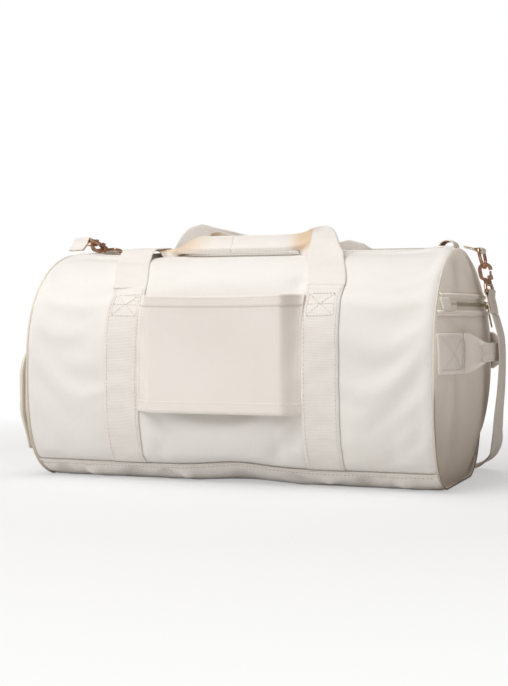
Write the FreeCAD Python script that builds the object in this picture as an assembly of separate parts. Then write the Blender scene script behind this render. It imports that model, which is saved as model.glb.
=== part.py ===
"""Soft travel duffel bag that slides over the handle of a suitcase, in millimetres.

X runs along the bag, with the end pocket at +X and the shoe compartment at -X.
The trolley sleeve is on the -Y face, +Z is up, and the origin is the middle of the flat base.
"""
import FreeCAD, Part
import math
import os

V = FreeCAD.Vector
ALONG = V(1, 0, 0)
ACROSS = V(0, 1, 0)
UP = V(0, 0, 1)
MIDDLE = V(0, 0, 0)

# ---- the bag's body ----
SEAM_X = 232.0           # half the length between the two end seams
HALF_DEPTH = 125.0       # at the widest height
WIDEST_Z = 140.0
TOP_Z = 257.0
BASE_DROP = 144.0        # the round lower half would end this far below the widest height
TOP_POWER = 2.1          # how square the section is above and below its widest height
BASE_POWER = 3.4
BASE_SEAM_Z = 20.0
FABRIC = 1.8             # coated nylon with its foam and lining
GAP = 0.3                # between soft pieces that lie on each other

# ---- webbing, sleeve and handles ----
WEBBING = 40.0
WEB = 1.4                # thickness of the webbing
BAND_X = 114.0           # middle of each webbing band
BAND_TOP_Z = 218.0       # the handles are free above this height
SLEEVE_BOTTOM = 80.0
SLEEVE_TOP = 204.0
SLEEVE_FACE_Y = -139.6   # leaves 13 mm for the rods of a suitcase handle
SLEEVE_RAMP = 17.0
GRIP_Y = 27.0            # how far from the middle each carry grip lies
GRIP_BOTTOM = 262.5
GRIP_WIDTH = 20.0        # webbing folded once along its length
GRIP_THICK = 3.2
FOLD = 24.0              # how far the webbing runs while it folds into the grip

# ---- main zip along the top ----
ZIP_HALF_SLOT = 8.0
TAPE_WIDTH = 17.0
TAPE = 0.8
COIL_WIDTH = 5.0
COIL_HEIGHT = 2.2
ZIP_HALF = 214.0
SLIDER_X = 9.0           # where the two closed sliders meet, either side of the middle
SLIDER_HALF = 5.5
BAIL_RADIUS = 2.6
BAIL_WIRE = 0.7
PULL_LENGTH = 26.0
PULL_WIDTH = 7.5
PULL = 1.4

# ---- right end: dome, pocket and grab handle ----
DOME_X = 262.0           # how far out the middle of the end panel stands
DOME_Z = 134.0
DOME_RADIUS = 300.0
POCKET_Z = 194.0
POCKET_HALF = 90.0
POCKET_SLOT = 6.0
GRAB_Z = 144.0
GRAB_WING_Y = 116.0      # outer ends of the webbing sewn to the end panel
GRAB_SEWN = 40.0         # length of each sewn end
GRAB_GRIP_Y = 46.0       # the folded grip's half length
GRAB_INNER_X = 271.0     # inner face of the grip in the middle of its bow
GRAB_ROOT_X = 264.0      # and at its two ends

# ---- left end: shoe compartment ----
LEFT_DOME_X = 240.0
LEFT_DOME_RADIUS = 900.0
SHOE_HALF = 104.0
SHOE_BOTTOM = 33.0
SHOE_TOP = 148.0
SHOE_CORNER = 34.0
SHOE_FLAP_X = 258.0      # the middle of the flap
FLAP_RADIUS = 1100.0
SHOE_ZIP_X = 246.0
SHOE_WALL_X = 120.0

# ---- hardware of the shoulder strap ----
RING_HALF = 14.0
RING_DROP = 19.0
RING_WIRE = 1.8
RING_BENDS = 14          # short straight runs round the bow
RING_TAB = 25.0          # width of the tab that holds the ring
RING_TAB_TAIL = 16.5
RING_TAB_TURN = 116.0
TAB_LOOP_X = 221.0       # folded loop to hold while the zip is pulled
TAB_LOOP_HALF = 9.0
TAB_LOOP_RISE = 8.0
HOOK_WIRE = 1.8
HOOK_INNER = 4.0
HOOK_LENGTH = 10.5       # from the middle of the crown's bend to the barrel
BARREL_RADIUS = 4.2
EYE_HALF = 20.5
EYE_WIRE = 1.7
EYE_DROP = 26.5
STRAP = 34.0
STRAP_THICK = 1.6
STRAP_END = 24.0         # length of the sewn loop at each end of the strap
FIT = 0.08               # radial clearance of a pin or bar that turns

PARTS = "parts"
os.makedirs(PARTS, exist_ok=True)


def save(name, shape):
    """Write one named piece."""
    shape.exportStep(os.path.join(PARTS, name + ".step"))


# ---------------------------------------------------------------- outline helpers
def line(a, b):
    return Part.LineSegment(a, b).toShape()


def arc(a, b, c):
    return Part.Arc(a, b, c).toShape()


def bends(points):
    """Chain of arcs through an odd number of points, with a line where three are straight."""
    edges = []
    for a, b, c in zip(points[0::2], points[1::2], points[2::2]):
        straight = (b - a).getAngle(c - b) < 0.001
        edges.append(line(a, c) if straight else arc(a, b, c))
    return edges


def face(edges):
    return Part.Face(Part.Wire(edges))


def ribbon(near, far):
    """Face between two chains of arcs that run the same way."""
    back = list(reversed(far))
    return face(bends(near) + [line(near[-1], back[0])] + bends(back) + [line(back[-1], near[0])])


def polygon(points):
    return Part.Face(Part.makePolygon(points + points[:1]))


def block(x0, x1, y0, y1, z0, z1):
    return Part.makeBox(x1 - x0, y1 - y0, z1 - z0, V(x0, y0, z0))


def rod(radius, a, b):
    return Part.makeCylinder(radius, (b - a).Length, a, b - a)


def bar_prism(radius, a, b, sides=6):
    """Bar with flats, from one point to another."""
    steps = [2 * math.pi * k / sides for k in range(sides)]
    ends = polygon([V(radius * math.cos(t), radius * math.sin(t), 0) for t in steps])
    prism = ends.extrude(UP * (b - a).Length)
    prism.Placement = FreeCAD.Placement(a, FreeCAD.Rotation(UP, b - a))
    return prism


def fuse(*shapes):
    return shapes[0].multiFuse(list(shapes[1:])).removeSplitter()


def to_back(shape):
    """The same piece on the other side of the bag's length."""
    return shape.mirror(MIDDLE, ACROSS)


def to_left(shape):
    """The same piece at the other end of the bag."""
    return shape.mirror(MIDDLE, ALONG)


def placed(shape, origin, along, outward):
    """Move a piece whose own X and Z stand for the directions given."""
    side = outward.cross(along)
    matrix = FreeCAD.Matrix(
        along.x, side.x, outward.x, origin.x,
        along.y, side.y, outward.y, origin.y,
        along.z, side.z, outward.z, origin.z,
        0, 0, 0, 1)
    moved = shape.copy()
    moved.Placement = FreeCAD.Placement(matrix).multiply(moved.Placement)
    return moved


# ---------------------------------------------------------------- the skin's cross-section
def half_section(steps=60):
    """Front half of the section, from the base's corner up to the top's middle line."""
    rows = []
    corner = math.asin((WIDEST_Z / BASE_DROP) ** (BASE_POWER / 2))
    for k in range(steps, 0, -1):
        a = corner * (k / steps) ** 1.7
        rows.append(V(0, -HALF_DEPTH * math.cos(a) ** (2 / BASE_POWER),
                      WIDEST_Z - BASE_DROP * math.sin(a) ** (2 / BASE_POWER)))
    for k in range(steps + 1):
        a = math.pi / 2 * k / steps
        rows.append(V(0, -HALF_DEPTH * abs(math.cos(a)) ** (2 / TOP_POWER),
                      WIDEST_Z + (TOP_Z - WIDEST_Z) * math.sin(a) ** (2 / TOP_POWER)))
    return rows


SECTION = half_section()
REACH = [0.0]
for before, after in zip(SECTION, SECTION[1:]):
    REACH.append(REACH[-1] + (after - before).Length)
TOP = REACH[-1]          # distance along the skin from the base's corner to the top's middle


def on_skin(s):
    """Point at a distance along the skin; past the top it comes down the back."""
    if s > TOP:
        point = on_skin(2 * TOP - s)
        return V(0, -point.y, point.z)
    k = max(i for i in range(len(REACH) - 1) if REACH[i] <= max(s, 0) + 1e-9)
    share = (s - REACH[k]) / (REACH[k + 1] - REACH[k])
    return SECTION[k] + (SECTION[k + 1] - SECTION[k]) * share


def skin(s, out=0.0):
    """Point at a distance along the skin, moved out from it."""
    direction = on_skin(min(s + 3, 2 * TOP)) - on_skin(max(s - 3, 0))
    direction.normalize()
    return on_skin(s) + V(0, -direction.z, direction.y) * out


def reach_of(z):
    """Distance along the front skin to a height."""
    k = next(i for i in range(len(SECTION)) if SECTION[i].z >= z)
    share = (z - SECTION[k - 1].z) / (SECTION[k].z - SECTION[k - 1].z)
    return REACH[k - 1] + share * (REACH[k] - REACH[k - 1])


SEAM_REACH = reach_of(BASE_SEAM_Z)
BAND_REACH = reach_of(BAND_TOP_Z)


def strip(start, stop, x0, x1, inner, outer, count=9):
    """Layer that follows the skin between two distances and two stations along the bag."""
    steps = [start + (stop - start) * k / (count - 1) for k in range(count)]
    outline = ribbon([skin(s, inner) for s in steps], [skin(s, outer) for s in steps])
    outline.translate(ALONG * x0)
    return outline.extrude(ALONG * (x1 - x0))


def outline_prism(inset, x0, x1, count=45):
    """The whole section in short straight runs, drawn smaller by an inset, between two stations."""
    outline = polygon([skin(2 * TOP * k / (count - 1), -inset) for k in range(count)])
    outline.translate(ALONG * x0)
    return outline.extrude(ALONG * (x1 - x0))


class Dome:
    """End surface that is an arc seen from above, and short straight runs along one from the side."""

    def __init__(self, apex, centre_z, radius, runs):
        self.apex = apex
        self.centre_z = centre_z
        self.radius = radius
        self.runs = runs
        self.axis = V(apex - radius, 0, 0)

    def profile_x(self, z, out=0.0):
        radius = self.radius + out
        return self.apex - self.radius + math.sqrt(radius ** 2 - (z - self.centre_z) ** 2)

    def patch(self, inner, outer, z0, z1, y0, y1, runs=2):
        """Layer between two depths, bounded by two heights and two widths."""
        heights = [z0 + (z1 - z0) * k / runs for k in range(runs + 1)]
        low = [V(self.profile_x(z, inner), 0, z) for z in heights]
        high = [V(self.profile_x(z, outer), 0, z) for z in reversed(heights)]
        outline = polygon(low + high)
        first = math.degrees(math.asin(y0 / self.radius))
        last = math.degrees(math.asin(y1 / self.radius))
        outline.rotate(self.axis, UP, first)
        return outline.revolve(self.axis, UP, last - first)

    def shell(self, inner, outer, outline):
        """The layer cut to an outline."""
        layer = self.patch(inner, outer, -6, TOP_Z + 4, -HALF_DEPTH - 6, HALF_DEPTH + 6, self.runs)
        return layer.common(outline)

    def point(self, y, z, out=0.0):
        """Point on the surface with the directions along it and out of it."""
        turn = math.asin(y / self.radius)
        tilt = math.asin((z - self.centre_z) / self.radius)
        radius = self.profile_x(z, out) - self.axis.x
        where = self.axis + V(radius * math.cos(turn), radius * math.sin(turn), z)
        outward = V(math.cos(tilt) * math.cos(turn), math.cos(tilt) * math.sin(turn), math.sin(tilt))
        along = V(-math.sin(turn), math.cos(turn), 0)
        return where, along, outward


RIGHT = Dome(DOME_X, DOME_Z, DOME_RADIUS, 8)
LEFT = Dome(LEFT_DOME_X, DOME_Z, LEFT_DOME_RADIUS, 4)
FLAP = Dome(SHOE_FLAP_X, (SHOE_BOTTOM + SHOE_TOP) / 2, FLAP_RADIUS, 4)


# ---------------------------------------------------------------- fabric body
def make_body():
    front = strip(SEAM_REACH, TOP - ZIP_HALF_SLOT, -SEAM_X, SEAM_X, -FABRIC, 0, 21)
    save("front_body_panel", front)
    save("back_body_panel", to_back(front))

    steps = [SEAM_REACH * k / 6 for k in range(7)]
    outer = [skin(s) for s in reversed(steps)]
    inner = [skin(s, -FABRIC) for s in steps]
    outer_back = [V(0, -p.y, p.z) for p in reversed(outer)]
    inner_back = [V(0, -p.y, p.z) for p in reversed(inner)]
    tray = face(bends(outer) + [line(outer[-1], outer_back[0])] + bends(outer_back)
                + [line(outer_back[-1], inner_back[0])] + bends(inner_back)
                + [line(inner_back[-1], inner[0])] + bends(inner) + [line(inner[-1], outer[0])])
    tray.translate(-ALONG * SEAM_X)
    save("base_panel", tray.extrude(ALONG * 2 * SEAM_X))

    piping = strip(SEAM_REACH - 1.2, SEAM_REACH + 1.2, -SEAM_X, SEAM_X, 0.05, 2.0, 3)
    save("base_piping", Part.makeCompound([piping, to_back(piping)]))

    ring = outline_prism(-1.6, SEAM_X + GAP, SEAM_X + 3.0).cut(outline_prism(FABRIC - GAP, SEAM_X, SEAM_X + 4))
    ring = ring.common(block(SEAM_X, SEAM_X + 4, -150, 150, 0, TOP_Z + 4))
    save("right_seam_piping", ring)
    save("left_seam_piping", to_left(ring))

    lining = outline_prism(FABRIC + GAP, -SEAM_X + 24, SEAM_X - 24)
    lining = lining.cut(outline_prism(FABRIC + GAP + 0.7, -SEAM_X, SEAM_X))
    lining = lining.cut(block(-SEAM_X, SEAM_X, -19, 19, TOP_Z - 20, TOP_Z + 5))
    save("lining", lining)

    board = block(-212, 212, -58, 58, FABRIC + 1.6, FABRIC + 3.8)
    corners = [edge for edge in board.Edges if abs(edge.BoundBox.ZLength - 2.2) < 0.01]
    save("base_stiffener", board.makeFillet(18, corners))


def make_main_zip():
    """Two tapes, the closed coil, two sliders that meet in the middle, and their pulls."""
    under = -FABRIC - 0.2
    tape = strip(TOP - TAPE_WIDTH, TOP - 0.3, -ZIP_HALF, ZIP_HALF, under - TAPE, under, 3)
    save("main_zip_tape_front", tape)
    save("main_zip_tape_back", to_back(tape))
    low = TOP_Z + under
    coil = zip_coil(low, 2 * ZIP_HALF)
    save("main_zip_coil", coil)
    for side, direction in (("right", 1), ("left", -1)):
        where = V(direction * SLIDER_X, 0, low)
        save("main_slider_" + side, placed(zip_slider(), where, ALONG * direction, UP))
        pull_at = where + UP * BAIL_Z
        save("main_pull_" + side, placed(zip_pull(), pull_at, ALONG * direction, UP))


def zip_coil(z, length):
    """Half-round bead of closed teeth that stands on the tapes."""
    half = COIL_WIDTH / 2
    bead = face([line(V(0, -half, z), V(0, half, z)),
                 arc(V(0, half, z), V(0, 0, z + COIL_HEIGHT), V(0, -half, z))])
    bead.translate(-ALONG * length / 2)
    return bead.extrude(ALONG * length)


ROOF_Z = COIL_HEIGHT + 0.4
ROOF = 1.3
BAIL_Z = ROOF_Z + ROOF + 1.1


def zip_slider(turned=False):
    """Slider that rides over the coil: roof, two side walls, and a bail for the pull."""
    nose, tail, wall = 4.8, 4.1, 1.1
    roof = polygon([V(-SLIDER_HALF, -tail, ROOF_Z), V(SLIDER_HALF - 3, -nose, ROOF_Z),
                    V(SLIDER_HALF, -nose + 2, ROOF_Z), V(SLIDER_HALF, nose - 2, ROOF_Z),
                    V(SLIDER_HALF - 3, nose, ROOF_Z), V(-SLIDER_HALF, tail, ROOF_Z)])
    pieces = [roof.extrude(UP * ROOF)]
    for side in (-1, 1):
        outside = side * tail
        inside = side * (tail - wall)
        pieces.append(block(-SLIDER_HALF, SLIDER_HALF - 2, min(inside, outside), max(inside, outside),
                            0.4, ROOF_Z + 0.5))
    bail = []
    for radius in (BAIL_RADIUS + BAIL_WIRE, BAIL_RADIUS - BAIL_WIRE):
        foot = V(0, 0, ROOF_Z + 0.3)
        top = V(0, 0, BAIL_Z)
        arch = [line(foot - ALONG * radius, top - ALONG * radius),
                arc(top - ALONG * radius, top + UP * radius, top + ALONG * radius),
                line(top + ALONG * radius, foot + ALONG * radius),
                line(foot + ALONG * radius, foot - ALONG * radius)]
        arch = face(arch)
        arch.translate(-ACROSS * BAIL_WIRE)
        bail.append(arch.extrude(ACROSS * 2 * BAIL_WIRE))
    pieces.append(bail[0].cut(bail[1]))
    if turned:
        for piece in pieces[3:]:
            piece.rotate(MIDDLE, UP, 90)
    return fuse(*pieces)


def zip_pull(turned=False):
    """Flat pull: a head bar inside the bail, a slot the bail passes, and a holed tip."""
    half = PULL_WIDTH / 2
    tip = PULL_LENGTH - half
    outline = face([line(V(-0.8, -2.6, 0), V(5.6, -2.6, 0)), line(V(5.6, -2.6, 0), V(9, -half, 0)),
                    line(V(9, -half, 0), V(tip, -half, 0)),
                    arc(V(tip, -half, 0), V(PULL_LENGTH, 0, 0), V(tip, half, 0)),
                    line(V(tip, half, 0), V(9, half, 0)), line(V(9, half, 0), V(5.6, 2.6, 0)),
                    line(V(5.6, 2.6, 0), V(-0.8, 2.6, 0)), line(V(-0.8, 2.6, 0), V(-0.8, -2.6, 0))])
    body = outline.extrude(UP * PULL)
    slot = block(0.8, 4.5, -1.4, 1.4, -1, PULL + 1)
    hole = bar_prism(1.8, V(tip, 0, -1), V(tip, 0, PULL + 1), 12)
    pull = body.cut(slot).cut(hole)
    pull.translate(-UP * PULL / 2)
    if turned:
        pull.rotate(MIDDLE, UP, -90)
    return pull


# ---------------------------------------------------------------- webbing, sleeve, handles
def make_bands():
    for side, x in (("left", -BAND_X), ("right", BAND_X)):
        band = strip(SEAM_REACH + 2.4, BAND_REACH - 1.5, x - WEBBING / 2, x + WEBBING / 2, GAP, GAP + WEB, 11)
        save("front_band_" + side, band)
        save("back_band_" + side, to_back(band))


def make_sleeve():
    """Panel sewn down at its sides only, so that the rods of a suitcase handle pass behind it."""
    half = BAND_X - WEBBING / 2 - GAP
    low = reach_of(SLEEVE_BOTTOM)
    high = reach_of(SLEEVE_TOP)
    heights = [low + (high - low) * k / 4 for k in range(5)]

    def rib(x, share):
        """One thin upright section: share is 0 on the skin and 1 on the sleeve's flat face."""
        inner = []
        outer = []
        for s in heights:
            near = skin(s, 0.15)
            far = V(0, SLEEVE_FACE_Y + WEB, near.z)
            inner.append(near + (far - near) * share + ALONG * x)
            near = skin(s, 0.15 + WEB)
            far = V(0, SLEEVE_FACE_Y, near.z)
            outer.append(near + (far - near) * share + ALONG * x)
        return ribbon(inner, outer).OuterWire

    stations = [(0, 0), (0.3, 0.12), (0.7, 0.85), (1, 1)]
    ribs = [rib(-half + SLEEVE_RAMP * along, share) for along, share in stations]
    ribs += [rib(half - SLEEVE_RAMP * along, share) for along, share in reversed(stations)]
    save("trolley_sleeve", Part.makeLoft(ribs, True, True))


def make_handles():
    """Webbing that leaves the bands, rises over the shoulder and folds into a grip."""
    shoulder = reach_of(TOP_Z - 8)
    steps = [BAND_REACH + (shoulder - BAND_REACH) * k / 4 for k in range(5)]
    inner = [skin(s, 0.4) for s in steps] + [V(0, -GRIP_Y + WEB - 9, GRIP_BOTTOM - 1),
                                             V(0, -GRIP_Y + WEB, GRIP_BOTTOM + GRIP_WIDTH)]
    outer = [skin(s, 0.4 + WEB) for s in steps] + [V(0, -GRIP_Y - 9, GRIP_BOTTOM + 0.5),
                                                   V(0, -GRIP_Y, GRIP_BOTTOM + GRIP_WIDTH)]
    leg = ribbon(inner, outer)
    pieces = []
    grip_z = GRIP_BOTTOM + GRIP_WIDTH
    for side in (-1, 1):
        inside = BAND_X - WEBBING / 2
        outside = BAND_X + WEBBING / 2
        plate = leg.copy()
        plate.translate(ALONG * (side * BAND_X - WEBBING / 2))
        plate = plate.extrude(ALONG * WEBBING)
        corner = polygon([V(side * (outside - FOLD), -200, grip_z + 1), V(side * (outside + 1), -200, grip_z + 1),
                          V(side * (outside + 1), -200, grip_z - FOLD), V(side * inside, -200, grip_z + 1)][:3])
        pieces.append(plate.cut(corner.extrude(ACROSS * 200)))
    reach = BAND_X - WEBBING / 2 + 4
    grip = block(-reach, reach, -GRIP_Y - 0.4, -GRIP_Y - 0.4 + GRIP_THICK, GRIP_BOTTOM, grip_z - 0.2)
    long_edges = [edge for edge in grip.Edges if edge.BoundBox.XLength > reach]
    pieces.append(grip.makeFillet(1.2, long_edges))
    handle = fuse(*pieces)
    save("front_handle", handle)
    save("back_handle", to_back(handle))


# ---------------------------------------------------------------- right end
def make_right_end():
    outline = outline_prism(FABRIC + GAP, 200, 262, 31)
    panel = RIGHT.shell(-FABRIC, 0, outline)
    slot = RIGHT.patch(-6, 6, POCKET_Z - POCKET_SLOT, POCKET_Z + POCKET_SLOT, -POCKET_HALF, POCKET_HALF)
    save("right_end_panel", panel.cut(slot))

    under = -FABRIC - 0.6
    save("pocket_zip_tape", RIGHT.patch(under - TAPE, under, POCKET_Z - 10, POCKET_Z + 10,
                                        -POCKET_HALF - 4, POCKET_HALF + 4))
    half = COIL_WIDTH / 2
    save("pocket_zip_coil", RIGHT.patch(under, under + COIL_HEIGHT, POCKET_Z - half, POCKET_Z + half,
                                        -POCKET_HALF, POCKET_HALF))
    welts = [RIGHT.patch(0.1, 1.7, low, low + 4, -POCKET_HALF - 4, POCKET_HALF + 4)
             for low in (POCKET_Z + POCKET_SLOT + 0.4, POCKET_Z - POCKET_SLOT - 4.4)]
    save("pocket_zip_welts", Part.makeCompound(welts))
    save("pocket_zip_cover", RIGHT.patch(0.4, 1.9, POCKET_Z - POCKET_SLOT, POCKET_Z + POCKET_SLOT,
                                         -POCKET_HALF - 4, -POCKET_HALF + 14))
    where, along, outward = RIGHT.point(POCKET_HALF - 14, POCKET_Z, under)
    save("pocket_slider", placed(zip_slider(True), where, along, outward))
    save("pocket_pull", placed(zip_pull(True), where + outward * BAIL_Z, along, outward))

    pouch = block(196, 216, -POCKET_HALF, POCKET_HALF, POCKET_Z - 130, POCKET_Z + 6)
    pouch = pouch.cut(block(196.8, 215.2, -POCKET_HALF + 0.8, POCKET_HALF - 0.8, POCKET_Z - 129.2, POCKET_Z + 9))
    save("end_pocket_pouch", pouch)


def make_grab_handle():
    """Webbing sewn flat at both sides of the end; its wings narrow into a bowed grip."""
    low = GRAB_Z - WEBBING / 2
    high = GRAB_Z + WEBBING / 2
    start_y = GRAB_WING_Y - GRAB_SEWN
    patch = RIGHT.patch(0.15, 0.15 + WEB, low, high, -GRAB_WING_Y, -start_y)
    save("grab_patches", Part.makeCompound([patch, to_back(patch)]))

    root, along, outward = RIGHT.point(-start_y + 1, GRAB_Z, 0.5)
    end = V(GRAB_ROOT_X, -GRAB_GRIP_Y - 0.8, 0)
    near = V(root.x, root.y, 0)
    middle = (near + end) / 2 + V(0.8, 0, 0)
    wing_line = [near, middle, end]
    offset = V(WEB * 0.95, -WEB * 0.5, 0)
    plan = ribbon(wing_line, [p + offset for p in wing_line])
    plan.translate(UP * low)
    wing = plan.extrude(UP * WEBBING)
    half = GRIP_WIDTH / 2
    wide_y = -start_y - 6
    narrow_y = -GRAB_GRIP_Y
    shoulder_y = -start_y + 3
    taper = polygon([V(220, wide_y, low), V(220, wide_y, high), V(220, shoulder_y, high),
                     V(220, narrow_y, GRAB_Z + half), V(220, narrow_y, GRAB_Z - half), V(220, shoulder_y, low)])
    wing = wing.common(taper.extrude(ALONG * 60))
    save("grab_wings", Part.makeCompound([wing, to_back(wing)]))

    bow = [V(GRAB_ROOT_X, -GRAB_GRIP_Y, GRAB_Z - half), V(GRAB_INNER_X, 0, GRAB_Z - half),
           V(GRAB_ROOT_X, GRAB_GRIP_Y, GRAB_Z - half)]
    out = [p + ALONG * GRIP_THICK for p in bow]
    grip = face([arc(*bow), line(bow[2], out[2]), arc(*reversed(out)), line(out[0], bow[0])])
    save("grab_grip", grip.extrude(UP * GRIP_WIDTH))


# ---------------------------------------------------------------- left end
def shoe_arch(inset, x0, x1, bottom=SHOE_BOTTOM):
    """Prism with the flap's outline: square at the base, round at its two upper corners."""
    half = SHOE_HALF - inset
    top = SHOE_TOP - inset
    radius = SHOE_CORNER - inset
    turn = radius * (1 - math.sqrt(0.5))
    shoulder = V(x0, -half + radius, top)
    side = V(x0, -half, top - radius)
    outline = face([
        line(V(x0, -half, bottom), side),
        arc(side, V(x0, -half + turn, top - turn), shoulder),
        line(shoulder, V(x0, half - radius, top)),
        arc(V(x0, half - radius, top), V(x0, half - turn, top - turn), V(x0, half, top - radius)),
        line(V(x0, half, top - radius), V(x0, half, bottom)),
        line(V(x0, half, bottom), V(x0, -half, bottom))])
    return outline.extrude(ALONG * (x1 - x0))


def arch_band(outset, thick, x0, x1):
    """Band of an even thickness that runs up, over and down the flap's outline."""
    return shoe_arch(-outset - thick, x0, x1).cut(shoe_arch(-outset, x0 - 1, x1 + 1, SHOE_BOTTOM - 5))


def make_left_end():
    outline = outline_prism(FABRIC + GAP, 200, 262, 31)
    panel = LEFT.shell(-FABRIC, 0, outline).cut(shoe_arch(-0.4, 200, 262))
    save("left_end_panel", to_left(panel))

    save("shoe_gusset", to_left(arch_band(-1.4, 1.2, SEAM_X - 6, SHOE_ZIP_X - 4.5)))
    save("shoe_zip_tape", to_left(arch_band(-1.4, 1.2, SHOE_ZIP_X - 4.2, SHOE_ZIP_X - 0.2)))
    beyond = FLAP.shell(-FABRIC, 12, block(200, 300, -HALF_DEPTH, HALF_DEPTH, 0, TOP_Z))
    save("shoe_flap_tape", to_left(arch_band(-1.4, 1.2, SHOE_ZIP_X + 0.2, SHOE_FLAP_X).cut(beyond)))
    save("shoe_zip_coil", to_left(arch_band(0.1, 1.6, SHOE_ZIP_X - 2.3, SHOE_ZIP_X - 0.3)))

    flap = FLAP.shell(-FABRIC, 0, shoe_arch(0, 200, 280))
    save("shoe_flap", to_left(flap))

    where = V(-SHOE_ZIP_X + 1.3, 58, SHOE_TOP - 0.1)
    save("shoe_slider", placed(zip_slider(), where, -ACROSS, UP))
    save("shoe_pull", placed(zip_pull(), where + UP * BAIL_Z, -ACROSS, UP))

    wall = block(SHOE_WALL_X, SHOE_WALL_X + 1, -130, 130, FABRIC + 4.2, SHOE_TOP + 5)
    roof = block(SHOE_WALL_X, SEAM_X - 8, -130, 130, SHOE_TOP + 4, SHOE_TOP + 5)
    inside = outline_prism(FABRIC + GAP + 1.2, -SEAM_X, SEAM_X)
    save("shoe_compartment_wall", to_left(fuse(wall, roof)).common(inside))


# ---------------------------------------------------------------- ring, hook and strap ends
class Chain:
    """Place of a ring's bar, the way its hook and strap end lie from it, and their outer side."""

    def __init__(self, bar, down, outer):
        self.bar = bar
        self.down = down.normalize()
        self.outer = (outer - self.down * outer.dot(self.down)).normalize()
        self.across = self.outer.cross(self.down)

    def place(self, shape):
        """Move a piece drawn with the bar at the origin, its drop along -Z and its outer side +X."""
        return placed(shape, self.bar, self.outer, -self.down)

    def at(self, drop, out=0.0):
        return self.bar + self.down * drop + self.outer * out


CHAINS = {"right": Chain(V(256, 0, 253), V(0.21, 0, -0.98), ALONG),
          "left": Chain(V(-226, -2, 274.5), V(0.35, 0.9, -0.26), UP)}


def folded_webbing(bar_radius, tail, width):
    """Webbing folded round a bar at the origin, its two layers sewn together below."""
    hole = bar_radius + FIT
    bend = hole + WEB
    outline = face([arc(V(-bend, 0, 0), V(0, 0, bend), V(bend, 0, 0)),
                    line(V(bend, 0, 0), V(WEB, 0, -2 * bend)), line(V(WEB, 0, -2 * bend), V(WEB, 0, -tail)),
                    line(V(WEB, 0, -tail), V(-WEB, 0, -tail)), line(V(-WEB, 0, -tail), V(-WEB, 0, -2 * bend)),
                    line(V(-WEB, 0, -2 * bend), V(-bend, 0, 0))])
    outline.translate(-ACROSS * width / 2)
    body = outline.extrude(ACROSS * width)
    return body.cut(rod(hole, V(0, -width, 0), V(0, width, 0)))


def d_ring():
    """Wire ring with a straight bar at the origin and a round bow below it."""
    radius = (RING_HALF ** 2 + RING_DROP ** 2) / (2 * RING_DROP)
    centre = V(0, 0, radius - RING_DROP)
    rise = math.asin(-centre.z / radius)
    sections = []
    for k in range(RING_BENDS + 1):
        turn = rise - (math.pi + 2 * rise) * k / RING_BENDS
        spoke = ACROSS * math.cos(turn) + UP * math.sin(turn)
        round_wire = [math.radians(45 * n + 22.5) for n in range(8)]
        corners = [centre + spoke * (radius + RING_WIRE * math.cos(a)) + ALONG * RING_WIRE * math.sin(a)
                   for a in round_wire]
        sections.append(Part.makePolygon(corners + corners[:1]))
    end = ACROSS * (RING_HALF + RING_WIRE)
    return fuse(bar_prism(RING_WIRE, -end, end, 8), Part.makeLoft(sections, True, True))


CROWN_Z = RING_WIRE + 0.1 - HOOK_INNER     # middle of the crown's bend, below the ring's bow
FOOT_Z = CROWN_Z - HOOK_LENGTH             # where the barrel starts
GATE_PIVOT = V(4.2, 0, FOOT_Z + 2.1)
GATE_PIN = 0.7


def hook_frame():
    """Snap hook with the ring's bow at the origin: crown, back, fork for the gate, barrel."""
    outer = HOOK_INNER + 2 * HOOK_WIRE
    inner = HOOK_INNER
    nose_z = CROWN_Z - 1.6
    profile = face([
        line(V(outer, 0, nose_z), V(outer, 0, CROWN_Z)),
        arc(V(outer, 0, CROWN_Z), V(0, 0, CROWN_Z + outer), V(-outer, 0, CROWN_Z)),
        line(V(-outer, 0, CROWN_Z), V(-outer, 0, FOOT_Z + 5)),
        arc(V(-outer, 0, FOOT_Z + 5), V(-outer + 1.8, 0, FOOT_Z + 0.6), V(-BARREL_RADIUS + 1, 0, FOOT_Z - 1)),
        line(V(-BARREL_RADIUS + 1, 0, FOOT_Z - 1), V(0.5, 0, FOOT_Z - 1)),
        line(V(0.5, 0, FOOT_Z - 1), V(-0.6, 0, FOOT_Z + 1.6)),
        arc(V(-0.6, 0, FOOT_Z + 1.6), V(-inner + 0.9, 0, FOOT_Z + 2.6), V(-inner, 0, FOOT_Z + 5.4)),
        line(V(-inner, 0, FOOT_Z + 5.4), V(-inner, 0, CROWN_Z)),
        arc(V(-inner, 0, CROWN_Z), V(0, 0, CROWN_Z + inner), V(inner, 0, CROWN_Z)),
        line(V(inner, 0, CROWN_Z), V(inner, 0, nose_z)),
        line(V(inner, 0, nose_z), V(outer, 0, nose_z))])
    profile.translate(-ACROSS * HOOK_WIRE)
    bow = profile.extrude(ACROSS * 2 * HOOK_WIRE)
    barrel = bar_prism(BARREL_RADIUS, V(0, 0, FOOT_Z - 5.5), V(0, 0, FOOT_Z), 16)
    cavity = bar_prism(2.9, V(0, 0, FOOT_Z - 4.5), V(0, 0, FOOT_Z - 2.1), 12)
    bore = bar_prism(1.74 + FIT, V(0, 0, FOOT_Z - 7), V(0, 0, FOOT_Z - 4), 12)
    ears = [block(1.2, 6.0, y0, y0 + 1.2, FOOT_Z - 1.5, FOOT_Z + 3.4) for y0 in (-3.1, 1.9)]
    pin = bar_prism(GATE_PIN, GATE_PIVOT - ACROSS * 3.1, GATE_PIVOT + ACROSS * 3.1, 8)
    return fuse(bow, barrel, *ears, pin).cut(cavity).cut(bore)


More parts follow.
